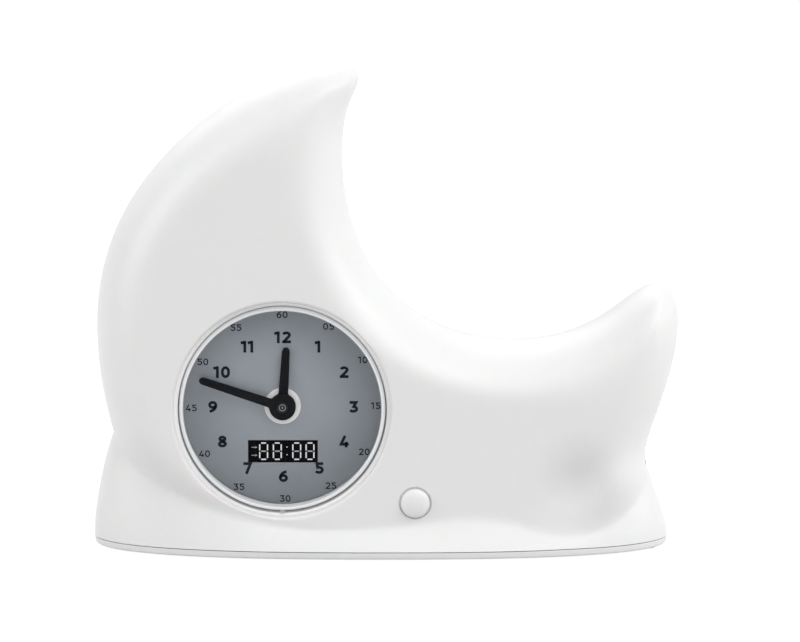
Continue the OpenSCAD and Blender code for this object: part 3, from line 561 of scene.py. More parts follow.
def metal(name, colour, roughness):
    """Bare or plated metal with fine turning or rolling marks."""
    finish = Finish(name)
    marks = finish.noise(900, 4)
    finish.link(finish.mix(finish.spread(marks, 0, 1), tinted(colour, 0.86), colour), "Base Color")
    finish.link(finish.spread(marks, roughness + 0.1, roughness - 0.06), "Roughness")
    finish.bump(marks, 0.2, 0.00003)
    return finish.set(Metallic=1.0)


# ---------- Sizes and colours that a user would change ----------


class HousingSettings(bpy.types.PropertyGroup):
    """The two half shells and the base."""

    lip_round: bpy.props.FloatProperty(
        name="Dial lip", description="Radius that rounds the rim of the dial opening",
        default=0.0013, min=0.0004, max=0.0025, precision=4, unit="LENGTH")
    hole_round: bpy.props.FloatProperty(
        name="Hole lip", description="Radius that rounds the rims of the small holes",
        default=0.0005, min=0.0001, max=0.001, precision=4, unit="LENGTH")
    base_round: bpy.props.FloatProperty(
        name="Base edge", description="Radius that rounds the lower edge of the base plate",
        default=0.0008, min=0.0002, max=0.0012, precision=4, unit="LENGTH")
    seam: bpy.props.FloatProperty(
        name="Seam", description="Half width of the groove where the shells meet",
        default=0.00015, min=0.0, max=0.0005, precision=5, unit="LENGTH")
    columns: bpy.props.IntProperty(
        name="Columns", description="Steps of the surface for each key column of the outline",
        default=5, min=2, max=8)
    plastic: bpy.props.FloatVectorProperty(
        name="Plastic", description="Milky white of the shells",
        default=(0.80, 0.796, 0.796), min=0, max=1, subtype="COLOR")
    base: bpy.props.FloatVectorProperty(
        name="Base", description="White of the base plate",
        default=(0.78, 0.775, 0.77), min=0, max=1, subtype="COLOR")


class DialSettings(bpy.types.PropertyGroup):
    """Printed dial, hands and display."""

    hour_height: bpy.props.FloatProperty(
        name="Hour numerals", description="Height of the hour numerals",
        default=0.0041, min=0.002, max=0.006, precision=4, unit="LENGTH")
    hour_radius: bpy.props.FloatProperty(
        name="Hour circle", description="Radius of the circle of hour numerals",
        default=0.0244, min=0.02, max=0.027, precision=4, unit="LENGTH")
    minute_height: bpy.props.FloatProperty(
        name="Minute labels", description="Height of the minute labels",
        default=0.0023, min=0.001, max=0.003, precision=4, unit="LENGTH")
    minute_radius: bpy.props.FloatProperty(
        name="Minute circle", description="Radius of the circle of minute labels",
        default=0.032, min=0.03, max=0.033, precision=4, unit="LENGTH")
    ink: bpy.props.FloatVectorProperty(
        name="Ink", description="Blue black of the printed numerals",
        default=(0.008, 0.011, 0.02), min=0, max=1, subtype="COLOR")
    silver: bpy.props.FloatVectorProperty(
        name="Dial", description="Silver grey of the printed dial",
        default=(0.275, 0.30, 0.33), min=0, max=1, subtype="COLOR")
    glow: bpy.props.FloatProperty(
        name="Digit glow", description="Strength of the lit segments", default=0.62, min=0, max=5)


class StageSettings(bpy.types.PropertyGroup):
    """Camera and light."""

    distance: bpy.props.FloatProperty(
        name="Distance", description="Camera's distance from the clock",
        default=1.5, min=0.5, max=5, unit="LENGTH")
    elevation: bpy.props.FloatProperty(
        name="Elevation", description="Camera's angle above the horizon",
        default=math.radians(8.7), subtype="ANGLE")
    frame_width: bpy.props.FloatProperty(
        name="View width", description="Width of the view at the clock",
        default=0.28, min=0.1, max=1, unit="LENGTH")
    world: bpy.props.FloatProperty(
        name="Room light", description="Strength of the even light all round",
        default=0.6, min=0, max=2)


# ---------- Shells ----------

FOOT = 4
OUTER_ROWS, INNER_ROWS = 84, 30


def shell_columns(per_key):
    """Places of the columns on the outer side and on the bite."""
    u = np.linspace(0, KEY_COLUMN[-1], KEY_COLUMN[-1] * per_key + 1)
    return np.interp(u, KEY_COLUMN, range(len(OUTER) + 1)), np.interp(u, KEY_COLUMN, KEY_BITE)


def on_foot(q):
    """Whether places on the outer side lie between the ends of the foot."""
    return (q > FOOT) & (q < FOOT + 1)


def outer_edge(q, t):
    """Outer side moved in by t; the foot only gets shorter, and nothing goes below it."""
    p = along(OUTER, q)
    edge = p + inward(OUTER, q, 1) * t
    edge[:, 1] = np.maximum(SHELL_Z, edge[:, 1])
    foot = on_foot(q)
    edge[foot] = p[foot] * [(t + LEFT) / LEFT, 1]
    for end, move in ((FOOT, t), (FOOT + 1, -t)):
        edge[q == end] = p[q == end] + [move, 0]
    return edge


def skin(q, s, rows, t, side, rim):
    """One skin of a half shell. Column by column it runs from the outer side to the bite with
    cosine steps, and its depth is the half depth there; the rims lie at the given depth."""
    a = outer_edge(q, t)
    b = along(BITE, s) + inward(BITE, s, -1) * t
    v = (1 - np.cos(np.pi * np.linspace(0, 1, rows + 1))) / 2
    flat = a[:, None] + (b - a)[:, None] * v[None, :, None]
    depth = half_depth(flat.reshape(-1, 2), t).reshape(len(q), rows + 1)
    depth = np.maximum(depth, rim)
    depth[:, -1] = rim
    depth[~on_foot(q), 0] = rim
    return np.stack([flat[..., 0], side * depth, flat[..., 1]], -1)


def half_shell(side, per_key, seam):
    """Closed half shell: outer skin, inner skin, and lands along their two rims."""
    q, s = shell_columns(per_key)
    index, points, count = [], [], 0
    for grid in (skin(q, s, OUTER_ROWS, 0, side, seam),
                 skin(q, s, INNER_ROWS, WALL, side, 0.0)):
        rows = grid.shape[1]
        ids = count + np.arange(grid.shape[0] * rows).reshape(-1, rows)
        ids[0], ids[-1] = ids[0, -1], ids[-1, -1]
        index.append(ids)
        points.append(grid.reshape(-1, 3))
        count += ids.size
    outer, inner = index
    faces = faces_of(outer) + faces_of(inner[:, ::-1])
    faces += faces_of(np.column_stack([inner[:, 0], outer[:, 0]]))
    faces += faces_of(np.column_stack([outer[:, -1], inner[:, -1]]))
    points = np.vstack(points)
    used, packed = np.unique(np.concatenate([np.array(f) for f in faces]), return_inverse=True)
    sizes = np.cumsum([len(f) for f in faces])[:-1]
    faces = [f.tolist() for f in np.split(packed, sizes)]
    return points[used], outward(points[used], faces)


def flared(x, z, radius, round_r, face, end, side):
    """Cutter for a hole whose rim is rounded: past the face it is wider by the rounding, and
    at depth d it has radius r + R - sqrt(R^2 - (R - d)^2). side is -1 for the front."""
    d = round_r * (1 - np.cos(np.linspace(0.05, 1, 8) * np.pi / 2))
    r = radius + round_r - np.sqrt(np.maximum(0, round_r ** 2 - (round_r - d) ** 2))
    profile = [[0, face + side * 8], [r[0], face + side * 8]]
    profile += np.column_stack([r, face - side * d]).tolist()
    profile += [[radius, end], [0, end]]
    return lathe(profile, (x, 0, z), "y", 144 if radius > 20 else 48)


def reach_at(x, z, radius):
    """Depth to which a round post is buried in the wall: a little past the shallowest point of
    the wall over the post's edge."""
    return float(half_depth(arc(x, z, radius, radius, 0, 330, 12), WALL).min() + WALL * 0.6)


def post(place, radius, side, start):
    """Round post from the start depth into the wall of the front (-1) or rear (1) shell."""
    return bar(*place, radius, *sorted((side * start, side * reach_at(*place, radius))))


def middle(q, s, share):
    """Point part of the way from the outer side to the bite."""
    a, b = along(OUTER, np.array([q])), along(BITE, np.array([s]))
    return (a + (b - a) * share)[0]


# Posts for the screws of the two shells, of the light frame, of the dial cup's ears, of the
# front switch's board and of the rear buttons' board, as places in X and Z, and their radii
POSTS, POST_R = [middle(1.42, 1.75, 0.45), middle(2.45, 2.46, 0.115), (15, 60), (72, 56)], 3.6
FRAME_POSTS, FRAME_POST_R = [middle(1.75, 2.1, 0.5), (-22, 98), (52, 56)], 3.2
EAR_CIRCLE_R = 42.5
EARS, EAR_R = arc(DIAL[0], DIAL[2], EAR_CIRCLE_R, EAR_CIRCLE_R, 90, 330, 3), 3.2
SWITCH_POSTS = [(BUTTON[0] - 9.5, BUTTON[2]), (BUTTON[0], BUTTON[2] + 10.5)]
BOARD_POSTS, BOARD_POST_R = [(PLUS[0] + x, PLUS[2]) for x in (-21, 21)], 2.4
BASE_POST_R, BASE_POST_TOP = 3.8, 15.0
THREAD_R, SMALL_THREAD_R = 1.25, 0.95
SCREW_R, SCREW_HEAD_R, SUNK_HEAD_R = 1.6, 2.9, 2.8
BUTTON_HOLE_R, SETTING_HOLE_R, KNOB_HOLE_R = 5.5, 3.7, 2.55
GRILLE_HOLE_R, GRILLE_LIP = 1.2, 0.3
SOCKET_HOLE = (9.6, 3.9)
BORE_R = DIAL_R + 2.9


def upright(x, y, radius, z0, z1):
    """Round bar along Z from z0 to z1."""
    return lathe([[0, z0], [radius, z0], [radius, z1], [0, z1]], (x, y, 0), "z", 32)


def base_post(x):
    """Place of a base screw's boss, whose outer side stands in the wall of the plinth."""
    rim = arc(x, 0, BASE_POST_R, BASE_POST_R, 0, 180, 7)
    top = np.column_stack([rim[:, 0], np.full(7, BASE_POST_TOP)])
    return x, float((half_depth(top) - rim[:, 1]).min() - WALL * 0.4)


BASE_POSTS = [base_post(-82.0), base_post(82.0)]


class MOONCLOCK_OT_shells(bpy.types.Operator):
    """Front and rear half shells, with their openings, posts and rounded rims"""

    bl_idname = "moonclock.shells"
    bl_label = "Shells"

    def execute(self, context):
        sizes = context.scene.moonclock_housing
        self.front(sizes)
        self.rear(sizes)
        return {"FINISHED"}

    def front(self, sizes):
        """Front shell: collar round the dial's opening, guide tube of the button, and posts."""
        piece = add_mesh("shell_front", *half_shell(-1, sizes.columns, sizes.seam / MM))
        x, z = DIAL[0], DIAL[2]
        bosses = [bar(x, z, BORE_R + 2, FACE_Y + 1.6, -12, 144)]
        bosses += [post(p, POST_R, -1, 0) for p in POSTS]
        bosses += [upright(px, -py, BASE_POST_R, SHELL_Z, BASE_POST_TOP) for px, py in BASE_POSTS]
        bosses += [bar(BUTTON[0], BUTTON[2], 7.5, FACE_Y + 1.8, -24.6)]
        combine(piece, joined(bosses), "UNION")
        combine(piece, joined([post(p, EAR_R, -1, 12) for p in EARS]
                              + [post(p, BOARD_POST_R, -1, 17) for p in SWITCH_POSTS]), "UNION")
        cuts = [flared(x, z, BORE_R, sizes.lip_round / MM, FACE_Y, -11, -1),
                flared(BUTTON[0], BUTTON[2], BUTTON_HOLE_R, sizes.hole_round / MM, FACE_Y, -23, -1)]
        cuts += [bar(*p, THREAD_R, -20, -11) for p in EARS]
        cuts += [bar(*p, THREAD_R, -12, 1) for p in POSTS]
        cuts += [bar(*p, SMALL_THREAD_R, -22, -16) for p in SWITCH_POSTS]
        cuts += [upright(px, -py, THREAD_R, SHELL_Z - 1, 14) for px, py in BASE_POSTS]
        combine(piece, joined(cuts), "DIFFERENCE")
        smooth(piece)
        finished(piece, "housing", "shell_white", "milky_plastic", "front_shell")

    def rear(self, sizes):
        """Rear shell: posts, holder and grille of the speaker, wells for the shell screws, and
        holes for the setting buttons, the knob and the power inlet."""
        piece = add_mesh("shell_rear", *half_shell(1, sizes.columns, sizes.seam / MM))
        bosses = [post(p, POST_R, 1, 0) for p in POSTS]
        bosses += [post(p, FRAME_POST_R, 1, 14) for p in FRAME_POSTS]
        bosses += [post(p, BOARD_POST_R, 1, 20.6) for p in BOARD_POSTS]
        bosses += [upright(px, py, BASE_POST_R, SHELL_Z, BASE_POST_TOP) for px, py in BASE_POSTS]
        low, high = (corner[1] for corner in node_box("speaker"))
        bosses += [lathe([[15.9, low + 4], [14.3, low + 4], [14.3, high + 1.4],
                          [15.9, high + 1.4]], SPEAKER, "y", 72, ring=True)]
        combine(piece, joined(bosses), "UNION")
        lip = sizes.hole_round / MM
        cuts = [bar(*p, SCREW_R, -1, 18.5) for p in POSTS]
        cuts += [flared(*p, SCREW_HEAD_R, lip, HALF_DEPTH, 18.4, 1) for p in POSTS]
        cuts += [bar(*p, THREAD_R, 11, 20) for p in FRAME_POSTS]
        cuts += [bar(*p, SMALL_THREAD_R, 19, 25.6) for p in BOARD_POSTS]
        cuts += [upright(px, py, THREAD_R, SHELL_Z - 1, 14) for px, py in BASE_POSTS]
        cuts += [flared(b[0], b[2], SETTING_HOLE_R, lip, HALF_DEPTH, 20, 1)
                 for b in (MODE, PLUS, MINUS)]
        cuts += [bar(KNOB[0], KNOB[2], KNOB_HOLE_R, 20, 40)]
        for radius, count in ((0, 1), (4, 6), (8, 12)):
            for a in np.arange(count) * 2 * np.pi / count:
                cuts.append(flared(SPEAKER[0] + radius * math.cos(a),
                                   SPEAKER[2] - radius * math.sin(a),
                                   GRILLE_HOLE_R, GRILLE_LIP, HALF_DEPTH, 20, 1))
        cuts.append(slot_cutter(SOCKET[0], SOCKET[2], *SOCKET_HOLE))
        combine(piece, joined(cuts), "DIFFERENCE")
        smooth(piece)
        finished(piece, "housing", "shell_white", "milky_plastic", "rear_shell")


def foot_ring(margin, z, steps=256):
    """Rounded oblong of the plinth's foot, |x/a|^2.5 + |y/b|^2.5 = 1, drawn in by a margin."""
    ring = loop((LEFT + RIGHT) / 2, 0, (RIGHT - LEFT) / 2 - margin, PLINTH_HALF - margin,
                PLINTH_POWER, steps)
    return np.insert(ring, 2, z, axis=1)


class MOONCLOCK_OT_base(bpy.types.Operator):
    """Base plate with rounded edges, and the pockets for its feet, door and screws"""

    bl_idname = "moonclock.base"
    bl_label = "Base"

    def execute(self, context):
        round_r = context.scene.moonclock_housing.base_round / MM
        low, top = node_box("base_plate")[0][2], SHELL_Z - 0.3
        lower = quarter(round_r, 180)
        rings = [foot_ring(0.3 + round_r + x, low + round_r + z) for x, z in lower[::-1]]
        rings += [foot_ring(0.3 - x, top - 0.2 + z) for x, z in -quarter(0.2, 180)]
        piece = add_mesh("base_form", *stacked(rings))
        band = [foot_ring(m, z) for m, z in ((6.4, top - 0.5), (6.4, top + 2.2), (8, top + 2.2),
                                             (8, top - 0.5))]
        index = np.arange(4 * len(band[0])).reshape(4, -1)
        index = np.hstack([index, index[:, :1]])
        inside = [(np.vstack(band), faces_of(np.vstack([index, index[:1]])))]
        board_posts = [(x, y) for x in (-62, 6) for y in (3, 19)]
        inside += [upright(x, y, 2.6, top - 0.5, 12) for x, y in board_posts]
        combine(piece, joined(inside), "UNION")
        feet_low, feet_high = node_box("rubber_feet")
        door_low, door_high = node_box("battery_door")
        foot_r, pocket_r = 6.0, 6.1
        feet = ((feet_low[0] + foot_r, feet_high[1] - foot_r), (feet_high[0] - foot_r, 8.0))
        cuts = [upright(x, side * y, pocket_r, 0, low + 0.8) for side in (-1, 1)
                for x, y in feet]
        for x, y in BASE_POSTS:
            for side in (-1, 1):
                sunk = [[0, 0], [SUNK_HEAD_R, 0], [SUNK_HEAD_R, low], [SCREW_R, low + 1.5],
                        [SCREW_R, 8], [0, 8]]
                cuts.append(lathe(sunk, (x, side * y, 0), "z", 32))
                cuts.append(upright(x, side * y, 4.3, top + 0.01, top + 3))
        cuts += [upright(x, y, SMALL_THREAD_R, 6, 14) for x, y in board_posts]
        cuts.append(box_solid(door_low - [0.3, 0.3, 3], door_high + [0.3, 0.3, 5]))
        combine(piece, joined(cuts), "DIFFERENCE")
        smooth(piece)
        finished(piece, "housing", "base_white", "base_plastic", "base_plate")
        return {"FINISHED"}


def slot_cutter(x, z, width, height, y0=20.0, y1=44.0):
    """Prism along Y with round ends: two half circles joined by straight sides."""
    r = height / 2
    a = np.radians(np.linspace(-90, 90, 13))
    half = np.column_stack([width / 2 - r + r * np.cos(a), r * np.sin(a)])
    edge = np.vstack([half, -half]) + [x, z]
    return stacked([np.insert(edge, 1, y, axis=1) for y in (y0, y1)])


# ---------- Dial print ----------

# Thin pieces sink this far into the surface they lie on, and stand this far proud of it
SUNK, INK_PROUD, DIGIT_PROUD = 0.02, 0.06, 0.08
HOUR_SHIFT, LABEL_SHIFT, LABEL_LAG = (0.15, -0.45), (0.3, -0.45), 0.7


def numeral(digit, w, h):
    """Strokes of a digit as (points, closed), in a box w wide and 1 high; h is half the stroke."""
    mid, rx = w / 2, w / 2 - h
    if digit == "0":
        return [(loop(mid, 0.5, rx, 0.5 - h), True)]
    if digit == "1":
        x = w * 0.62
        return [(np.array([[x, 0], [x, 1]]), False),
                (np.array([[x - h * 0.4, 1 - h], [x - 0.34, 0.93 - h]]), False)]
    if digit == "2":
        top = arc(mid, 0.70, rx, 0.30 - h, 165, -38)
        return [(np.vstack([top, [[h * 1.3, h * 0.9]]]), False),
                (np.array([[h * 0.2, h], [w, h]]), False)]
    if digit == "3":
        bowl = arc(mid - 0.03, 0.32, rx + 0.03, 0.32 - h, 82, -152)
        return [(np.vstack([[[0.05, 1 - h], [w - h - 0.05, 1 - h]], bowl]), False)]
    if digit == "4":
        return [(np.array([[w * 0.60, 1], [h, 0.27], [w, 0.27]]), False),
                (np.array([[w * 0.72, 0.47], [w * 0.72, 0]]), False)]
    if digit == "5":
        bowl = arc(mid - 0.03, 0.34, rx + 0.03, 0.34 - h, 112, -150)
        return [(np.vstack([[[w - 0.04, 1 - h], [h + 0.06, 1 - h]], bowl]), False)]
    if digit == "6":
        return [(loop(mid, 0.335, rx, 0.335 - h, 2), True),
                (arc(w - 0.05, 0.36, w - 0.05 - h, 0.64 - h, 96, 182), False)]
    if digit == "7":
        return [(np.array([[0.02, 1 - h], [w - h * 1.1, 1 - h], [w * 0.36, 0]]), False)]
    if digit == "8":
        return [(loop(mid, 0.735, rx - 0.045, 0.265 - h, 2), True),
                (loop(mid, 0.29, rx, 0.29 - h, 2), True)]
    return [(np.array([w, 1]) - points, closed) for points, closed in numeral("6", w, h)]


def printed(text, x, z, height, stroke, width, spacing, y):
    """Solids of a number centred on x and z: each stroke is a thin band of ink on the dial."""
    widths = [width * (0.62 if c == "1" else 1.0) for c in text]
    total = sum(widths) + spacing * (len(text) - 1)
    solids, at = [], -total / 2
    for c, w in zip(text, widths):
        for points, closed in numeral(c, w, stroke / 2):
            path = (points + [at, -0.5]) * height + [x, z]
            solids.append(ribbon(path, stroke * height, y - INK_PROUD, y + SUNK, closed))
        at += w + spacing
    return solids


class MOONCLOCK_OT_dial(bpy.types.Operator):
    """Numerals and minute labels printed on the dial"""

    bl_idname = "moonclock.dial"
    bl_label = "Dial print"

    def execute(self, context):
        sizes = context.scene.moonclock_dial
        bold, fine = [], []
        for hour in range(1, 13):
            angle = math.radians(hour * 30)
            out = sizes.hour_radius / MM + (0.5 if hour in (5, 7) else 0)
            x = DIAL[0] + HOUR_SHIFT[0] + out * math.sin(angle)
            z = DIAL[2] + HOUR_SHIFT[1] + out * math.cos(angle)
            bold += printed(str(hour), x, z, sizes.hour_height / MM, 0.235, 0.76, 0.12, DIAL_FACE)
            angle -= math.radians(LABEL_LAG)
            x = DIAL[0] + LABEL_SHIFT[0] + sizes.minute_radius / MM * math.sin(angle)
            z = DIAL[2] + LABEL_SHIFT[1] + sizes.minute_radius / MM * 1.01 * math.cos(angle)
            fine += printed(f"{hour * 5:02d}", x, z, sizes.minute_height / MM, 0.165, 0.74, 0.16,
                            DIAL_FACE)
        for name, solids in (("hour_numerals", bold), ("minute_labels", fine)):
            piece = add_mesh(name, *joined(solids))
            finished(piece, "housing", "hand_black", "dial_ink")
        return {"FINISHED"}


# ---------- Display ----------

DIGIT_X = [-6.7, -1.95, 4.8, 9.4]
DIGIT_W, DIGIT_H, BAR = 2.7, 5.75, 0.45
BAR_GAP = 0.42
COLON_X, COLON_HEIGHTS, COLON_DOT = 1.42, (1.45, -1.25), 0.34
# Dim marks left of the digits: the heights of their two rows, and (left, right, height) of each
MARK_HEIGHTS = (1.36, -1.46)
MARKS = ((-10.9, -9.95, 0.22), (-9.8, -9.5, 0.6), (-9.4, -9.0, 0.34))


def segment(x0, z0, x1, z1, y):
    """One bar of a digit with pointed ends, as a flat six-sided prism."""
    a, b = np.array([x0, z0], float), np.array([x1, z1], float)
    d = (b - a) / np.linalg.norm(b - a)
    n = np.array([-d[1], d[0]]) * BAR / 2
    tip = d * BAR * 0.35
    ring = np.array([a, a + tip + n, b - tip + n, b, b - tip - n, a + tip - n])
    return stacked([np.insert(ring, 1, y + off, axis=1) for off in (-DIGIT_PROUD, SUNK)])


class MOONCLOCK_OT_display(bpy.types.Operator):
    """Lit and resting segments of the four display digits"""

    bl_idname = "moonclock.display"
    bl_label = "Display"

    def execute(self, context):
        middle_z = node_middle("display_module")[2]
        y = node_box("display_module")[0][1]
        lit, rest = [], []
        w, h = DIGIT_W / 2, DIGIT_H / 2
        for offset in DIGIT_X:
            x = DIAL[0] + offset
            for top in (-1, 1):
                zt = middle_z + top * h
                lit.append(segment(x - w + BAR_GAP, zt, x + w - BAR_GAP, zt, y))
                for side in (-1, 1):
                    lit.append(segment(x + side * w, middle_z + top * 0.2, x + side * w,
                                       zt - top * 0.4, y))
            rest.append(segment(x - w + BAR_GAP, middle_z, x + w - BAR_GAP, middle_z, y))
        x = DIAL[0] + COLON_X
        half = COLON_DOT / 2
        for z in np.add(middle_z, COLON_HEIGHTS):
            lit.append(ribbon([[x - half, z], [x + half, z]], COLON_DOT, y - DIGIT_PROUD, y + SUNK))
        for z in np.add(middle_z, MARK_HEIGHTS):
            for left, right, tall in MARKS:
                rest.append(ribbon([[DIAL[0] + left, z], [DIAL[0] + right, z]], tall, y - 0.05,
                                   y + SUNK))
        finished(add_mesh("lit_segments", *joined(lit)), "housing", None, "lit_white")
        finished(add_mesh("resting_segments", *joined(rest)), "housing", None, "unlit_grey")
        return {"FINISHED"}


# ---------- Hands ----------

EYE_R = 4.6
CAP_R, RING_R = 1.95, 1.08


def hand_outline(length, width, eye, fillet=1.0, taper=0.2, steps=28):
    """Outline of a hand that points along +Z: its round eye, a fillet on each side, sides that
    draw in by the taper, and a half-round end. The fillet's centre lies width/2 + f off the
    middle and eye + f from the eye's centre."""
    w = width / 2
    cx = w + fillet
    cz = math.sqrt((eye + fillet) ** 2 - cx ** 2)
    meet = math.degrees(math.atan2(cz, cx))
    tip = arc(0, length - w, w, w, 0, 180, steps)
    left_fillet = arc(-cx, cz, fillet, fillet, 0, -meet, 8)
    eye_arc = arc(0, 0, eye, eye, 180 - meet, 360 + meet, steps * 2)
    right_fillet = arc(cx, cz, fillet, fillet, 180 + meet, 180, 8)
    side = np.linspace(1, 0, 8)[1:-1, None]
    outline = np.vstack([tip, tip[-1] * side + left_fillet[0] * (1 - side), left_fillet,
                         eye_arc[1:], right_fillet[1:],
                         right_fillet[-1] * side + tip[0] * (1 - side)])
    outline[:, 0] *= 1 - taper * np.maximum(0, outline[:, 1] - cz) / (length - cz)
    return outline


def pillow(loop_points, y0, y1, edge, steps=5):
    """Flat plate with rounded front edges: rings of the outline moved in by e(1 - sin a) while
    the depth goes from the side to the face by e(1 - cos a)."""
    before, after = np.roll(loop_points, 1, 0), np.roll(loop_points, -1, 0)
    chord = after - before
    chord /= np.linalg.norm(chord, axis=1)[:, None]
    inwards = np.column_stack([-chord[:, 1], chord[:, 0]])
    a = np.linspace(0, np.pi / 2, steps + 1)
    rings = [(loop_points, y1)]
    rings += [(loop_points + inwards * edge * (1 - np.cos(k)), y0 + edge * (1 - np.sin(k)))
              for k in a]
    return stacked([np.insert(p, 1, y, axis=1) for p, y in rings])


class MOONCLOCK_OT_hands(bpy.types.Operator):
    """Hour hand, minute hand and the cap over their hub"""

    bl_idname = "moonclock.hands"
    bl_label = "Hands"

    def execute(self, context):
        for node, body, angle, length, width, hole in (
                ("hour_hand", "hour_set", 3.6, 20.7, 3.3, 2.4),
                ("minute_hand", "minute_set", 288.5, 30.3, 3.2, 1.25)):
            low, high = node_box(node)
            outline = hand_outline(length, width, EYE_R)
            turn = math.radians(angle)
            along_hand = np.array([math.sin(turn), math.cos(turn)])
            across_hand = np.array([math.cos(turn), -math.sin(turn)])
            placed = outline[:, :1] * across_hand + outline[:, 1:] * along_hand
            placed = placed + [DIAL[0], DIAL[2]]
            piece = add_mesh(node + "_form", *pillow(placed, low[1], high[1], 0.28))
            combine(piece, bar(DIAL[0], DIAL[2], hole, low[1] - 1, high[1] + 1), "DIFFERENCE")
            smooth(piece, 50)
            finished(piece, body, "hand_black", "hand_paint", node)
        y, base = (corner[1] for corner in node_box("hand_cap"))
        cap = [[0, base], [CAP_R, base], [CAP_R, y + 0.35], [CAP_R - 0.1, y + 0.2],
               [CAP_R - 0.3, y + 0.12], [0, y + 0.12]]
        piece = add_mesh("hub_cap", *lathe(cap, DIAL, "y", 64))
        smooth(piece, 40)
        finished(piece, "minute_set", "hand_black", "cap_polish", "hand_cap")
        marks = [ribbon(loop(DIAL[0], DIAL[2], RING_R, RING_R, 2), 0.3, y + 0.02, y + 0.2, True),
                 ribbon(arc(DIAL[0], DIAL[2], 0.16, 0.28, 60, 410, 20), 0.24, y + 0.02, y + 0.2)]
        finished(add_mesh("hub_ring", *joined(marks)), "minute_set", None, "cap_mark")
        return {"FINISHED"}


# ---------- Lens and buttons ----------


class MOONCLOCK_OT_lens(bpy.types.Operator):
    """Clear lens over the dial, with a rounded shoulder and its gate, and the white ring that
    holds it"""

    bl_idname = "moonclock.lens"
    bl_label = "Lens"

    def execute(self, context):
        radius, y0, y1, wall = LENS_R, LENS_LOW[1], LENS_HIGH[1], 1.2
        outer = quarter(1.0, 180)[::-1] * [-1, 1] + [radius - 1.0, y0 + 1.0]
        profile = [[0, y0]] + outer.tolist() + [[radius, y1], [radius - 1, y1],
                                               [radius - 1, y0 + wall + 0.5],
                                               [radius - 1.5, y0 + wall], [0, y0 + wall]]
        piece = add_mesh("lens_cup", *lathe(profile, DIAL, "y", 192))
        gate = box_solid((DIAL[0] - 0.8, y0 + 0.6, DIAL[2] - radius - 0.9),
                         (DIAL[0] + 0.8, y1, DIAL[2] - radius + 0.3))
        combine(piece, gate, "UNION")
        smooth(piece, 40)
        finished(piece, "housing", "lens_clear", "clear_acrylic", "dial_lens")
        front = y0 + 1.0
        ring = [[radius + 0.24, y1], [radius + 0.24, front + 0.3], [radius + 0.3, front + 0.08],
                [radius + 0.5, front], [BORE_R + 0.1, front], [BORE_R + 0.1, y1]]
        piece = add_mesh("lens_ring", *lathe(ring, DIAL, "y", 192, ring=True))
        combine(piece, box_solid((DIAL[0] - 0.9, front - 1, DIAL[2] - radius - 1.1),
                                 (DIAL[0] + 0.9, y1 - 1, DIAL[2] - radius + 1)), "DIFFERENCE")
        smooth(piece, 40)
        finished(piece, "housing", None, "ring_white")
        return {"FINISHED"}


class MOONCLOCK_OT_buttons(bpy.types.Operator):
    """Domed front button, and the marks on the setting buttons at the back"""

    bl_idname = "moonclock.buttons"
    bl_label = "Buttons"

    def execute(self, context):
        low, high = node_box("front_button")
        a = np.linspace(0, np.pi / 2, 21)
        skirt = FACE_Y + 0.8
        dome = np.column_stack([4.9 * np.sin(a), low[1] + 2.1 * (1 - np.cos(a))])
        flange = (high[0] - low[0]) / 2
        profile = dome.tolist() + [[5.0, low[1] + 2.5], [5.0, skirt - 0.2], [5.1, skirt],
                                   [5.45, skirt + 0.1], [5.45, skirt + 1.5], [5.0, skirt + 1.7],
                                   [5.0, high[1] - 1.2], [flange, high[1] - 1.2],
                                   [flange, high[1]], [0, high[1]]]
        piece = add_mesh("front_dome", *lathe(profile, BUTTON, "y", 96))
        smooth(piece, 30)
        finished(piece, "front_button", "button_white", "button_plastic", "front_button")
        for node, place, strokes in (
                ("mode_button", MODE, [(loop(0, 0, 1.15, 1.15, 2), True),
                                       (np.array([[0, 0.75], [0, 0], [0.6, 0]]), False)]),
                ("plus_button", PLUS, [(np.array([[-1.3, 0], [1.3, 0]]), False),
                                       (np.array([[0, -1.3], [0, 1.3]]), False)]),
                ("minus_button", MINUS, [(np.array([[-1.3, 0], [1.3, 0]]), False)])):
            top = node_box(node)[1][1]
            marks = [ribbon(points * [-1, 1] + [place[0], place[2]], 0.45, top - SUNK, top, closed)
                     for points, closed in strokes]
            finished(add_mesh(node.replace("button", "mark"), *joined(marks)), node,
                     "hand_black", "dial_ink")
        return {"FINISHED"}


# ---------- Finishes ----------

# The finish of each CAD node that stays as it is
NODE_FINISH = {
    "base_plastic": "battery_door battery_box",
    "rubber": "rubber_feet",
    "zinc_steel": "base_screws shell_screws dial_screws door_screw",
    "white_cup": "dial_housing centre_ring",
    "silver_print": "dial_plate",
    "turned_brass": "hour_tube movement_bush bush_nut",
    "turned_steel": "minute_arbor",
    "black_case": "movement_case front_plunger front_switch rear_switches speaker",
    "display_face": "display_module",
    "board_mask_green": "display_board switch_board rear_button_board main_board",
    "board_mask_white": "light_frame light_boards",
    "led_lens": "night_leds",
    "setting_plastic": "mode_button plus_button minus_button hand_set_knob set_stem",
    "tinned_steel": "usb_socket battery_contacts",
    "cone_paper": "speaker_cone",
    "cell_jacket": "batteries",
    "wheel_nylon": "set_wheel",
}


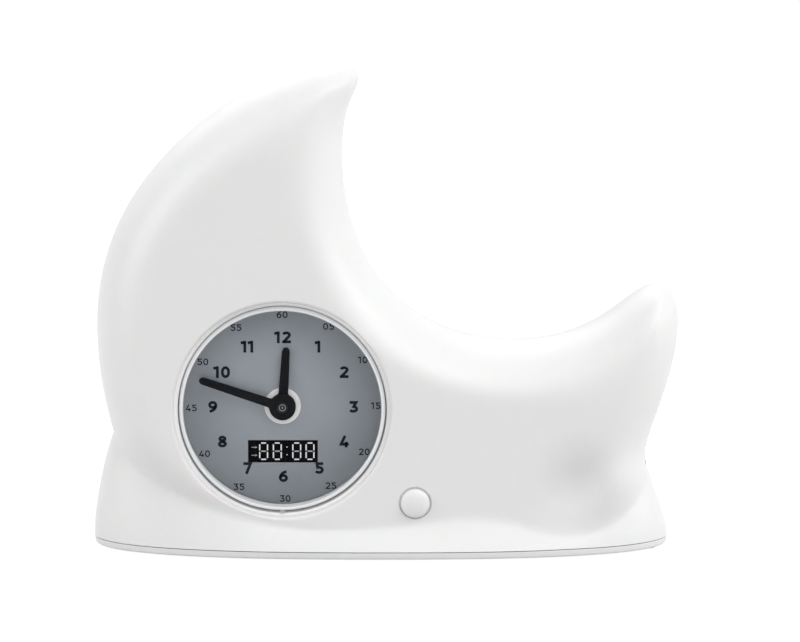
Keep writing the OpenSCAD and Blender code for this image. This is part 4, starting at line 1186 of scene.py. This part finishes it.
class MOONCLOCK_OT_finishes(bpy.types.Operator):
    """Makes the materials and gives each CAD node that shows its own"""

    bl_idname = "moonclock.finishes"
    bl_label = "Finishes"

    def execute(self, context):
        housing, dial = context.scene.moonclock_housing, context.scene.moonclock_dial
        self.milky_plastic(housing.plastic)
        moulded("base_plastic", housing.base, 0.45, 0.008)
        moulded("button_plastic", (0.80, 0.793, 0.80), 0.34, 0.006)
        moulded("setting_plastic", (0.62, 0.62, 0.61), 0.4, 0.01)
        moulded("white_cup", (0.86, 0.86, 0.86), 0.38, 0.01)
        self.ring_white()
        moulded("rubber", (0.1, 0.1, 0.105), 0.8, 0.08, 700, 0.00006)
        moulded("black_case", (0.02, 0.02, 0.022), 0.5, 0.1, 900)
        moulded("display_face", (0.002, 0.002, 0.003), 0.2, 0.1, 300, 0.000005,
                Specular_IOR_Level=0.03)
        moulded("cap_mark", (0.2, 0.205, 0.21), 0.4, 0.05)
        moulded("hand_paint", (0.006, 0.007, 0.009), 0.45, 0.08, 1200, 0.00001,
                Specular_IOR_Level=0.08)
        moulded("cap_polish", (0.008, 0.008, 0.01), 0.3, 0.08, 600, 0.00001,
                Specular_IOR_Level=0.2)
        moulded("dial_ink", dial.ink, 0.6, 0.1, 1500, 0.000005, Specular_IOR_Level=0.1)
        moulded("board_mask_green", (0.02, 0.11, 0.05), 0.35, 0.12, 500, 0.00002)
        moulded("board_mask_white", (0.75, 0.75, 0.72), 0.4, 0.02, 500, 0.00002)
        moulded("cone_paper", (0.03, 0.03, 0.03), 0.85, 0.15, 1500, 0.0001)
        moulded("cell_jacket", (0.32, 0.2, 0.05), 0.35, 0.06, 400)
        moulded("wheel_nylon", (0.55, 0.12, 0.08), 0.4, 0.04)
        metal("zinc_steel", (0.62, 0.63, 0.65), 0.32)
        metal("turned_brass", (0.72, 0.55, 0.27), 0.28)
        metal("turned_steel", (0.62, 0.62, 0.63), 0.24)
        metal("tinned_steel", (0.7, 0.71, 0.72), 0.3)
        self.silver_dial(dial)
        self.clear_acrylic()
        lit = Finish("lit_white").set(Base_Color=(0.05, 0.05, 0.055, 1),
                                      Emission_Color=(0.95, 0.97, 1.0, 1),
                                      Emission_Strength=dial.glow)
        lit.link(lit.spread(lit.noise(900), 0.42, 0.55), "Roughness")
        # painted glow: the unlit segments and dim marks give off a faint grey light of their own
        unlit = Finish("unlit_grey").set(Emission_Color=(0.5, 0.5, 0.55, 1),
                                         Emission_Strength=0.45)
        unlit.link(unlit.mix(unlit.spread(unlit.noise(700), 0, 1), (0.1, 0.1, 0.11),
                             (0.14, 0.14, 0.15)), "Base Color")
        moulded("led_lens", (0.85, 0.68, 0.2), 0.25, 0.04,
                Emission_Color=(1.0, 0.8, 0.45, 1), Emission_Strength=0.15)
        for material, nodes in NODE_FINISH.items():
            for node in nodes.split():
                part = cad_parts[node]
                part.data.materials.clear()
                part.data.materials.append(bpy.data.materials[material])
        return {"FINISHED"}

    def milky_plastic(self, colour):
        """Milky plastic with faint clouds, a fine grain and painted shade in the middle of the
        hollow.
        """
        finish = Finish("milky_plastic")
        cloud = finish.spread(finish.noise(18), -0.05, 0.05)
        # painted shade: the base colour darkens towards the middle of the hollow, at x 65.5 and z
        # 31.5
        clear = finish.spread(finish.distance_from(65.5, 31.5), 0.05, 0.95, 1, 14)
        finish.link(finish.mix(finish.maths("ADD", cloud, clear), tinted(colour, 0.9), colour),
                    "Base Color")
        finish.link(finish.spread(finish.noise(90), 0.36, 0.44), "Roughness")
        finish.bump(finish.noise(1500, 2), 0.25, 0.000012)
        finish.set(Subsurface_Weight=0.12, Subsurface_Scale=0.004)

    def silver_dial(self, dial):
        """Silver grey print with slow clouds and a fine sparkle, and painted shade that darkens it
        away from its upper left."""
        finish = Finish("silver_print")
        cloud = finish.spread(finish.noise(38, 2), -0.12, 0.12, 0.25, 0.75)
        # painted shade: the dial darkens with the distance from a point above and left of its
        # centre
        shade = finish.spread(finish.distance_from(DIAL[0] - 3, DIAL[2] + 5), 1, 0, 12, 38)
        finish.link(finish.mix(finish.maths("ADD", cloud, shade), tinted(dial.silver, 0.65),
                               tinted(dial.silver, 1.08)), "Base Color")
        finish.link(finish.spread(finish.noise(1200, 2), 0.38, 0.52), "Roughness")
        finish.bump(finish.noise(2600, 2), 0.2, 0.00001)
        finish.set(Metallic=0.15)

    def ring_white(self):
        """White plastic with painted light: painted shade darkens it along the lower inner edge,
        by the distance from a point a little under the dial's axis, and a faint painted glow
        lights it away from that edge."""
        finish = Finish("ring_white").set(Emission_Color=(1, 1, 1, 1))
        edge = LENS_R + 0.35
        out = finish.distance_from(DIAL[0], DIAL[2] - 0.5)
        # painted shade: dark base colour along the inner edge, wider at the bottom
        finish.link(finish.mix(finish.spread(out, 0, 1, edge - 0.1, edge + 0.2),
                               (0.36, 0.36, 0.37), (0.9, 0.9, 0.9)), "Base Color")
        # painted glow: white emission that rises away from the inner edge
        finish.link(finish.spread(out, 0, 0.07, edge, edge + 0.2), "Emission Strength")
        finish.link(finish.spread(finish.noise(900), 0.34, 0.44), "Roughness")

    def clear_acrylic(self):
        """Clear acrylic with painted light: see-through over the dial, denser in the wall round its
        rim, where a faint painted glow lights it, and with painted shade that darkens its edge,
        by the distance from the dial's axis."""
        finish = Finish("clear_acrylic").set(IOR=1.49, Emission_Color=(1, 1, 1, 1))
        rim, band = DIAL_R - 0.4, 0.4
        out = finish.distance_from(DIAL[0], DIAL[2] + 0.1)
        # painted shade: dark base colour in a band just inside the lens's edge
        dark = finish.spread(out, 0, 1, LENS_R - band, LENS_R)
        finish.link(finish.mix(dark, (0.95, 0.96, 0.97), (0.5, 0.51, 0.52)), "Base Color")
        # painted glow: white emission in the wall round the rim
        finish.link(finish.spread(out, 0.08, 0.02, LENS_R - band, LENS_R), "Emission Strength")
        finish.link(finish.spread(finish.distance_from(DIAL[0], DIAL[2]), 0.0004, 0.85, rim,
                                  rim + band), "Alpha")
        finish.link(finish.spread(finish.noise(60), 0.03, 0.06), "Roughness")


# ---------- Stage ----------


# Each lamp's place, the side of its square and its power, in metres and watts
LAMPS = {"key_lamp": ((0.75, -0.9, 1.35), 1.3, 12.5), "side_lamp": ((1.5, -0.1, 0.9), 1.0, 8.5),
         "left_lamp": ((-1.4, -0.5, 0.7), 1.2, 8.5), "back_lamp": ((-0.3, 1.3, 1.2), 1.4, 7.0)}


class MOONCLOCK_OT_stage(bpy.types.Operator):
    """Pale floor, soft lamps and the camera"""

    bl_idname = "moonclock.stage"
    bl_label = "Stage"

    def execute(self, context):
        sizes = context.scene.moonclock_stage
        self.floor()
        self.world(context, sizes.world)
        for name, (place, size, power) in LAMPS.items():
            self.lamp(name, place, size, power)
        self.camera(context, sizes)
        context.scene.view_settings.view_transform = "Standard"
        return {"FINISHED"}

    def floor(self):
        """Sheet under the clock that curves up behind it into a backdrop."""
        rise = np.radians(np.linspace(-90, 0, 17))
        profile = np.vstack([[[-6000, 0]], np.column_stack([3000 + 900 * np.cos(rise),
                                                           900 + 900 * np.sin(rise)]),
                             [[3900, 5000]]])
        x = np.array([-7000, 7000])
        points = np.array([[a, y, z] for y, z in profile for a in x])
        index = np.arange(len(points)).reshape(-1, 2)
        piece = add_mesh("studio_floor", points, faces_of(index[:, ::-1]))
        piece.data.shade_smooth()
        finish = Finish("floor_white")
        tree = finish.tree
        finish.set(Base_Color=(0.56, 0.56, 0.56, 1), Roughness=0.9)
        paths = tree.nodes.new("ShaderNodeLightPath")
        shaded = tree.nodes.new("ShaderNodeBsdfDiffuse")
        shaded.inputs["Color"].default_value = (0.3, 0.3, 0.3, 1)
        glow = tree.nodes.new("ShaderNodeEmission")
        glow.inputs["Strength"].default_value = 0.95
        both = tree.nodes.new("ShaderNodeAddShader")
        tree.links.new(shaded.outputs[0], both.inputs[0])
        tree.links.new(glow.outputs[0], both.inputs[1])
        seen_by = paths.outputs["Is Camera Ray"]
        for name in ("Is Glossy Ray", "Is Transmission Ray"):
            seen_by = finish.maths("MAXIMUM", seen_by, paths.outputs[name])
        choice = tree.nodes.new("ShaderNodeMixShader")
        tree.links.new(seen_by, choice.inputs[0])
        tree.links.new(finish.shader.outputs[0], choice.inputs[1])
        tree.links.new(both.outputs[0], choice.inputs[2])
        tree.links.new(choice.outputs[0], tree.nodes["Material Output"].inputs["Surface"])
        piece.data.materials.append(finish.material)

    def world(self, context, strength):
        """Even light all round, which the camera sees as white."""
        world = bpy.data.worlds.new("studio_light")
        context.scene.world = world
        world.use_nodes = True
        tree = world.node_tree
        back = tree.nodes["Background"]
        back.inputs["Color"].default_value = (1, 1, 1, 1)
        paths = tree.nodes.new("ShaderNodeLightPath")
        reach = tree.nodes.new("ShaderNodeMapRange")
        reach.inputs["To Min"].default_value = strength
        reach.inputs["To Max"].default_value = 1.0
        tree.links.new(paths.outputs["Is Camera Ray"], reach.inputs["Value"])
        tree.links.new(reach.outputs["Result"], back.inputs["Strength"])

    def lamp(self, name, place, size, power):
        """Square soft lamp that faces the clock."""
        light = bpy.data.lights.new(name, "AREA")
        light.shape = "SQUARE"
        light.size = size
        light.energy = power
        lamp = bpy.data.objects.new(name, light)
        bpy.context.scene.collection.objects.link(lamp)
        lamp.location = place
        lamp.rotation_mode = "QUATERNION"
        aim = Vector((0.0, 0.0, 0.08)) - lamp.location
        lamp.rotation_quaternion = aim.to_track_quat("-Z", "Y")

    def camera(self, context, sizes):
        """Long lens square on, a little above the horizon."""
        data = bpy.data.cameras.new("view")
        data.sensor_width = 36
        data.lens = data.sensor_width * sizes.distance / sizes.frame_width
        camera = bpy.data.objects.new("view", data)
        context.scene.collection.objects.link(camera)
        aim = Vector((0.00515, 0.0, 0.07845))
        back = Vector((0, -math.cos(sizes.elevation), math.sin(sizes.elevation)))
        camera.location = aim + back * sizes.distance
        camera.rotation_mode = "QUATERNION"
        camera.rotation_quaternion = (-back).to_track_quat("-Z", "Y")
        context.scene.camera = camera


class MOONCLOCK_PT_panel(bpy.types.Panel):
    """Sizes, colours and steps of the clock"""

    bl_idname = "MOONCLOCK_PT_panel"
    bl_label = "Moon Clock"
    bl_space_type = "VIEW_3D"
    bl_region_type = "UI"
    bl_category = "Moon Clock"

    def draw(self, context):
        for group in GROUPS:
            settings = getattr(context.scene, group)
            box = self.layout.box()
            for name in settings.__annotations__:
                box.prop(settings, name)
        for step in STEPS:
            self.layout.operator(step.bl_idname)


STEPS = (MOONCLOCK_OT_finishes, MOONCLOCK_OT_shells, MOONCLOCK_OT_base, MOONCLOCK_OT_dial,
         MOONCLOCK_OT_display, MOONCLOCK_OT_hands, MOONCLOCK_OT_lens, MOONCLOCK_OT_buttons,
         MOONCLOCK_OT_stage)
GROUPS = {"moonclock_housing": HousingSettings, "moonclock_dial": DialSettings,
          "moonclock_stage": StageSettings}


def register():
    """Registers the settings, the steps and the panel."""
    for group in GROUPS.values():
        bpy.utils.register_class(group)
    for name, group in GROUPS.items():
        setattr(bpy.types.Scene, name, bpy.props.PointerProperty(type=group))
    for step in STEPS:
        bpy.utils.register_class(step)
    bpy.utils.register_class(MOONCLOCK_PT_panel)


def unregister():
    """Takes away all that register() added."""
    bpy.utils.unregister_class(MOONCLOCK_PT_panel)
    for step in reversed(STEPS):
        bpy.utils.unregister_class(step)
    for name, group in GROUPS.items():
        delattr(bpy.types.Scene, name)
        bpy.utils.unregister_class(group)


def main():
    """Builds the clock step by step."""
    register()
    for step in STEPS:
        getattr(bpy.ops.moonclock, step.bl_idname.split(".")[1])()


if __name__ == "__main__":
    main()
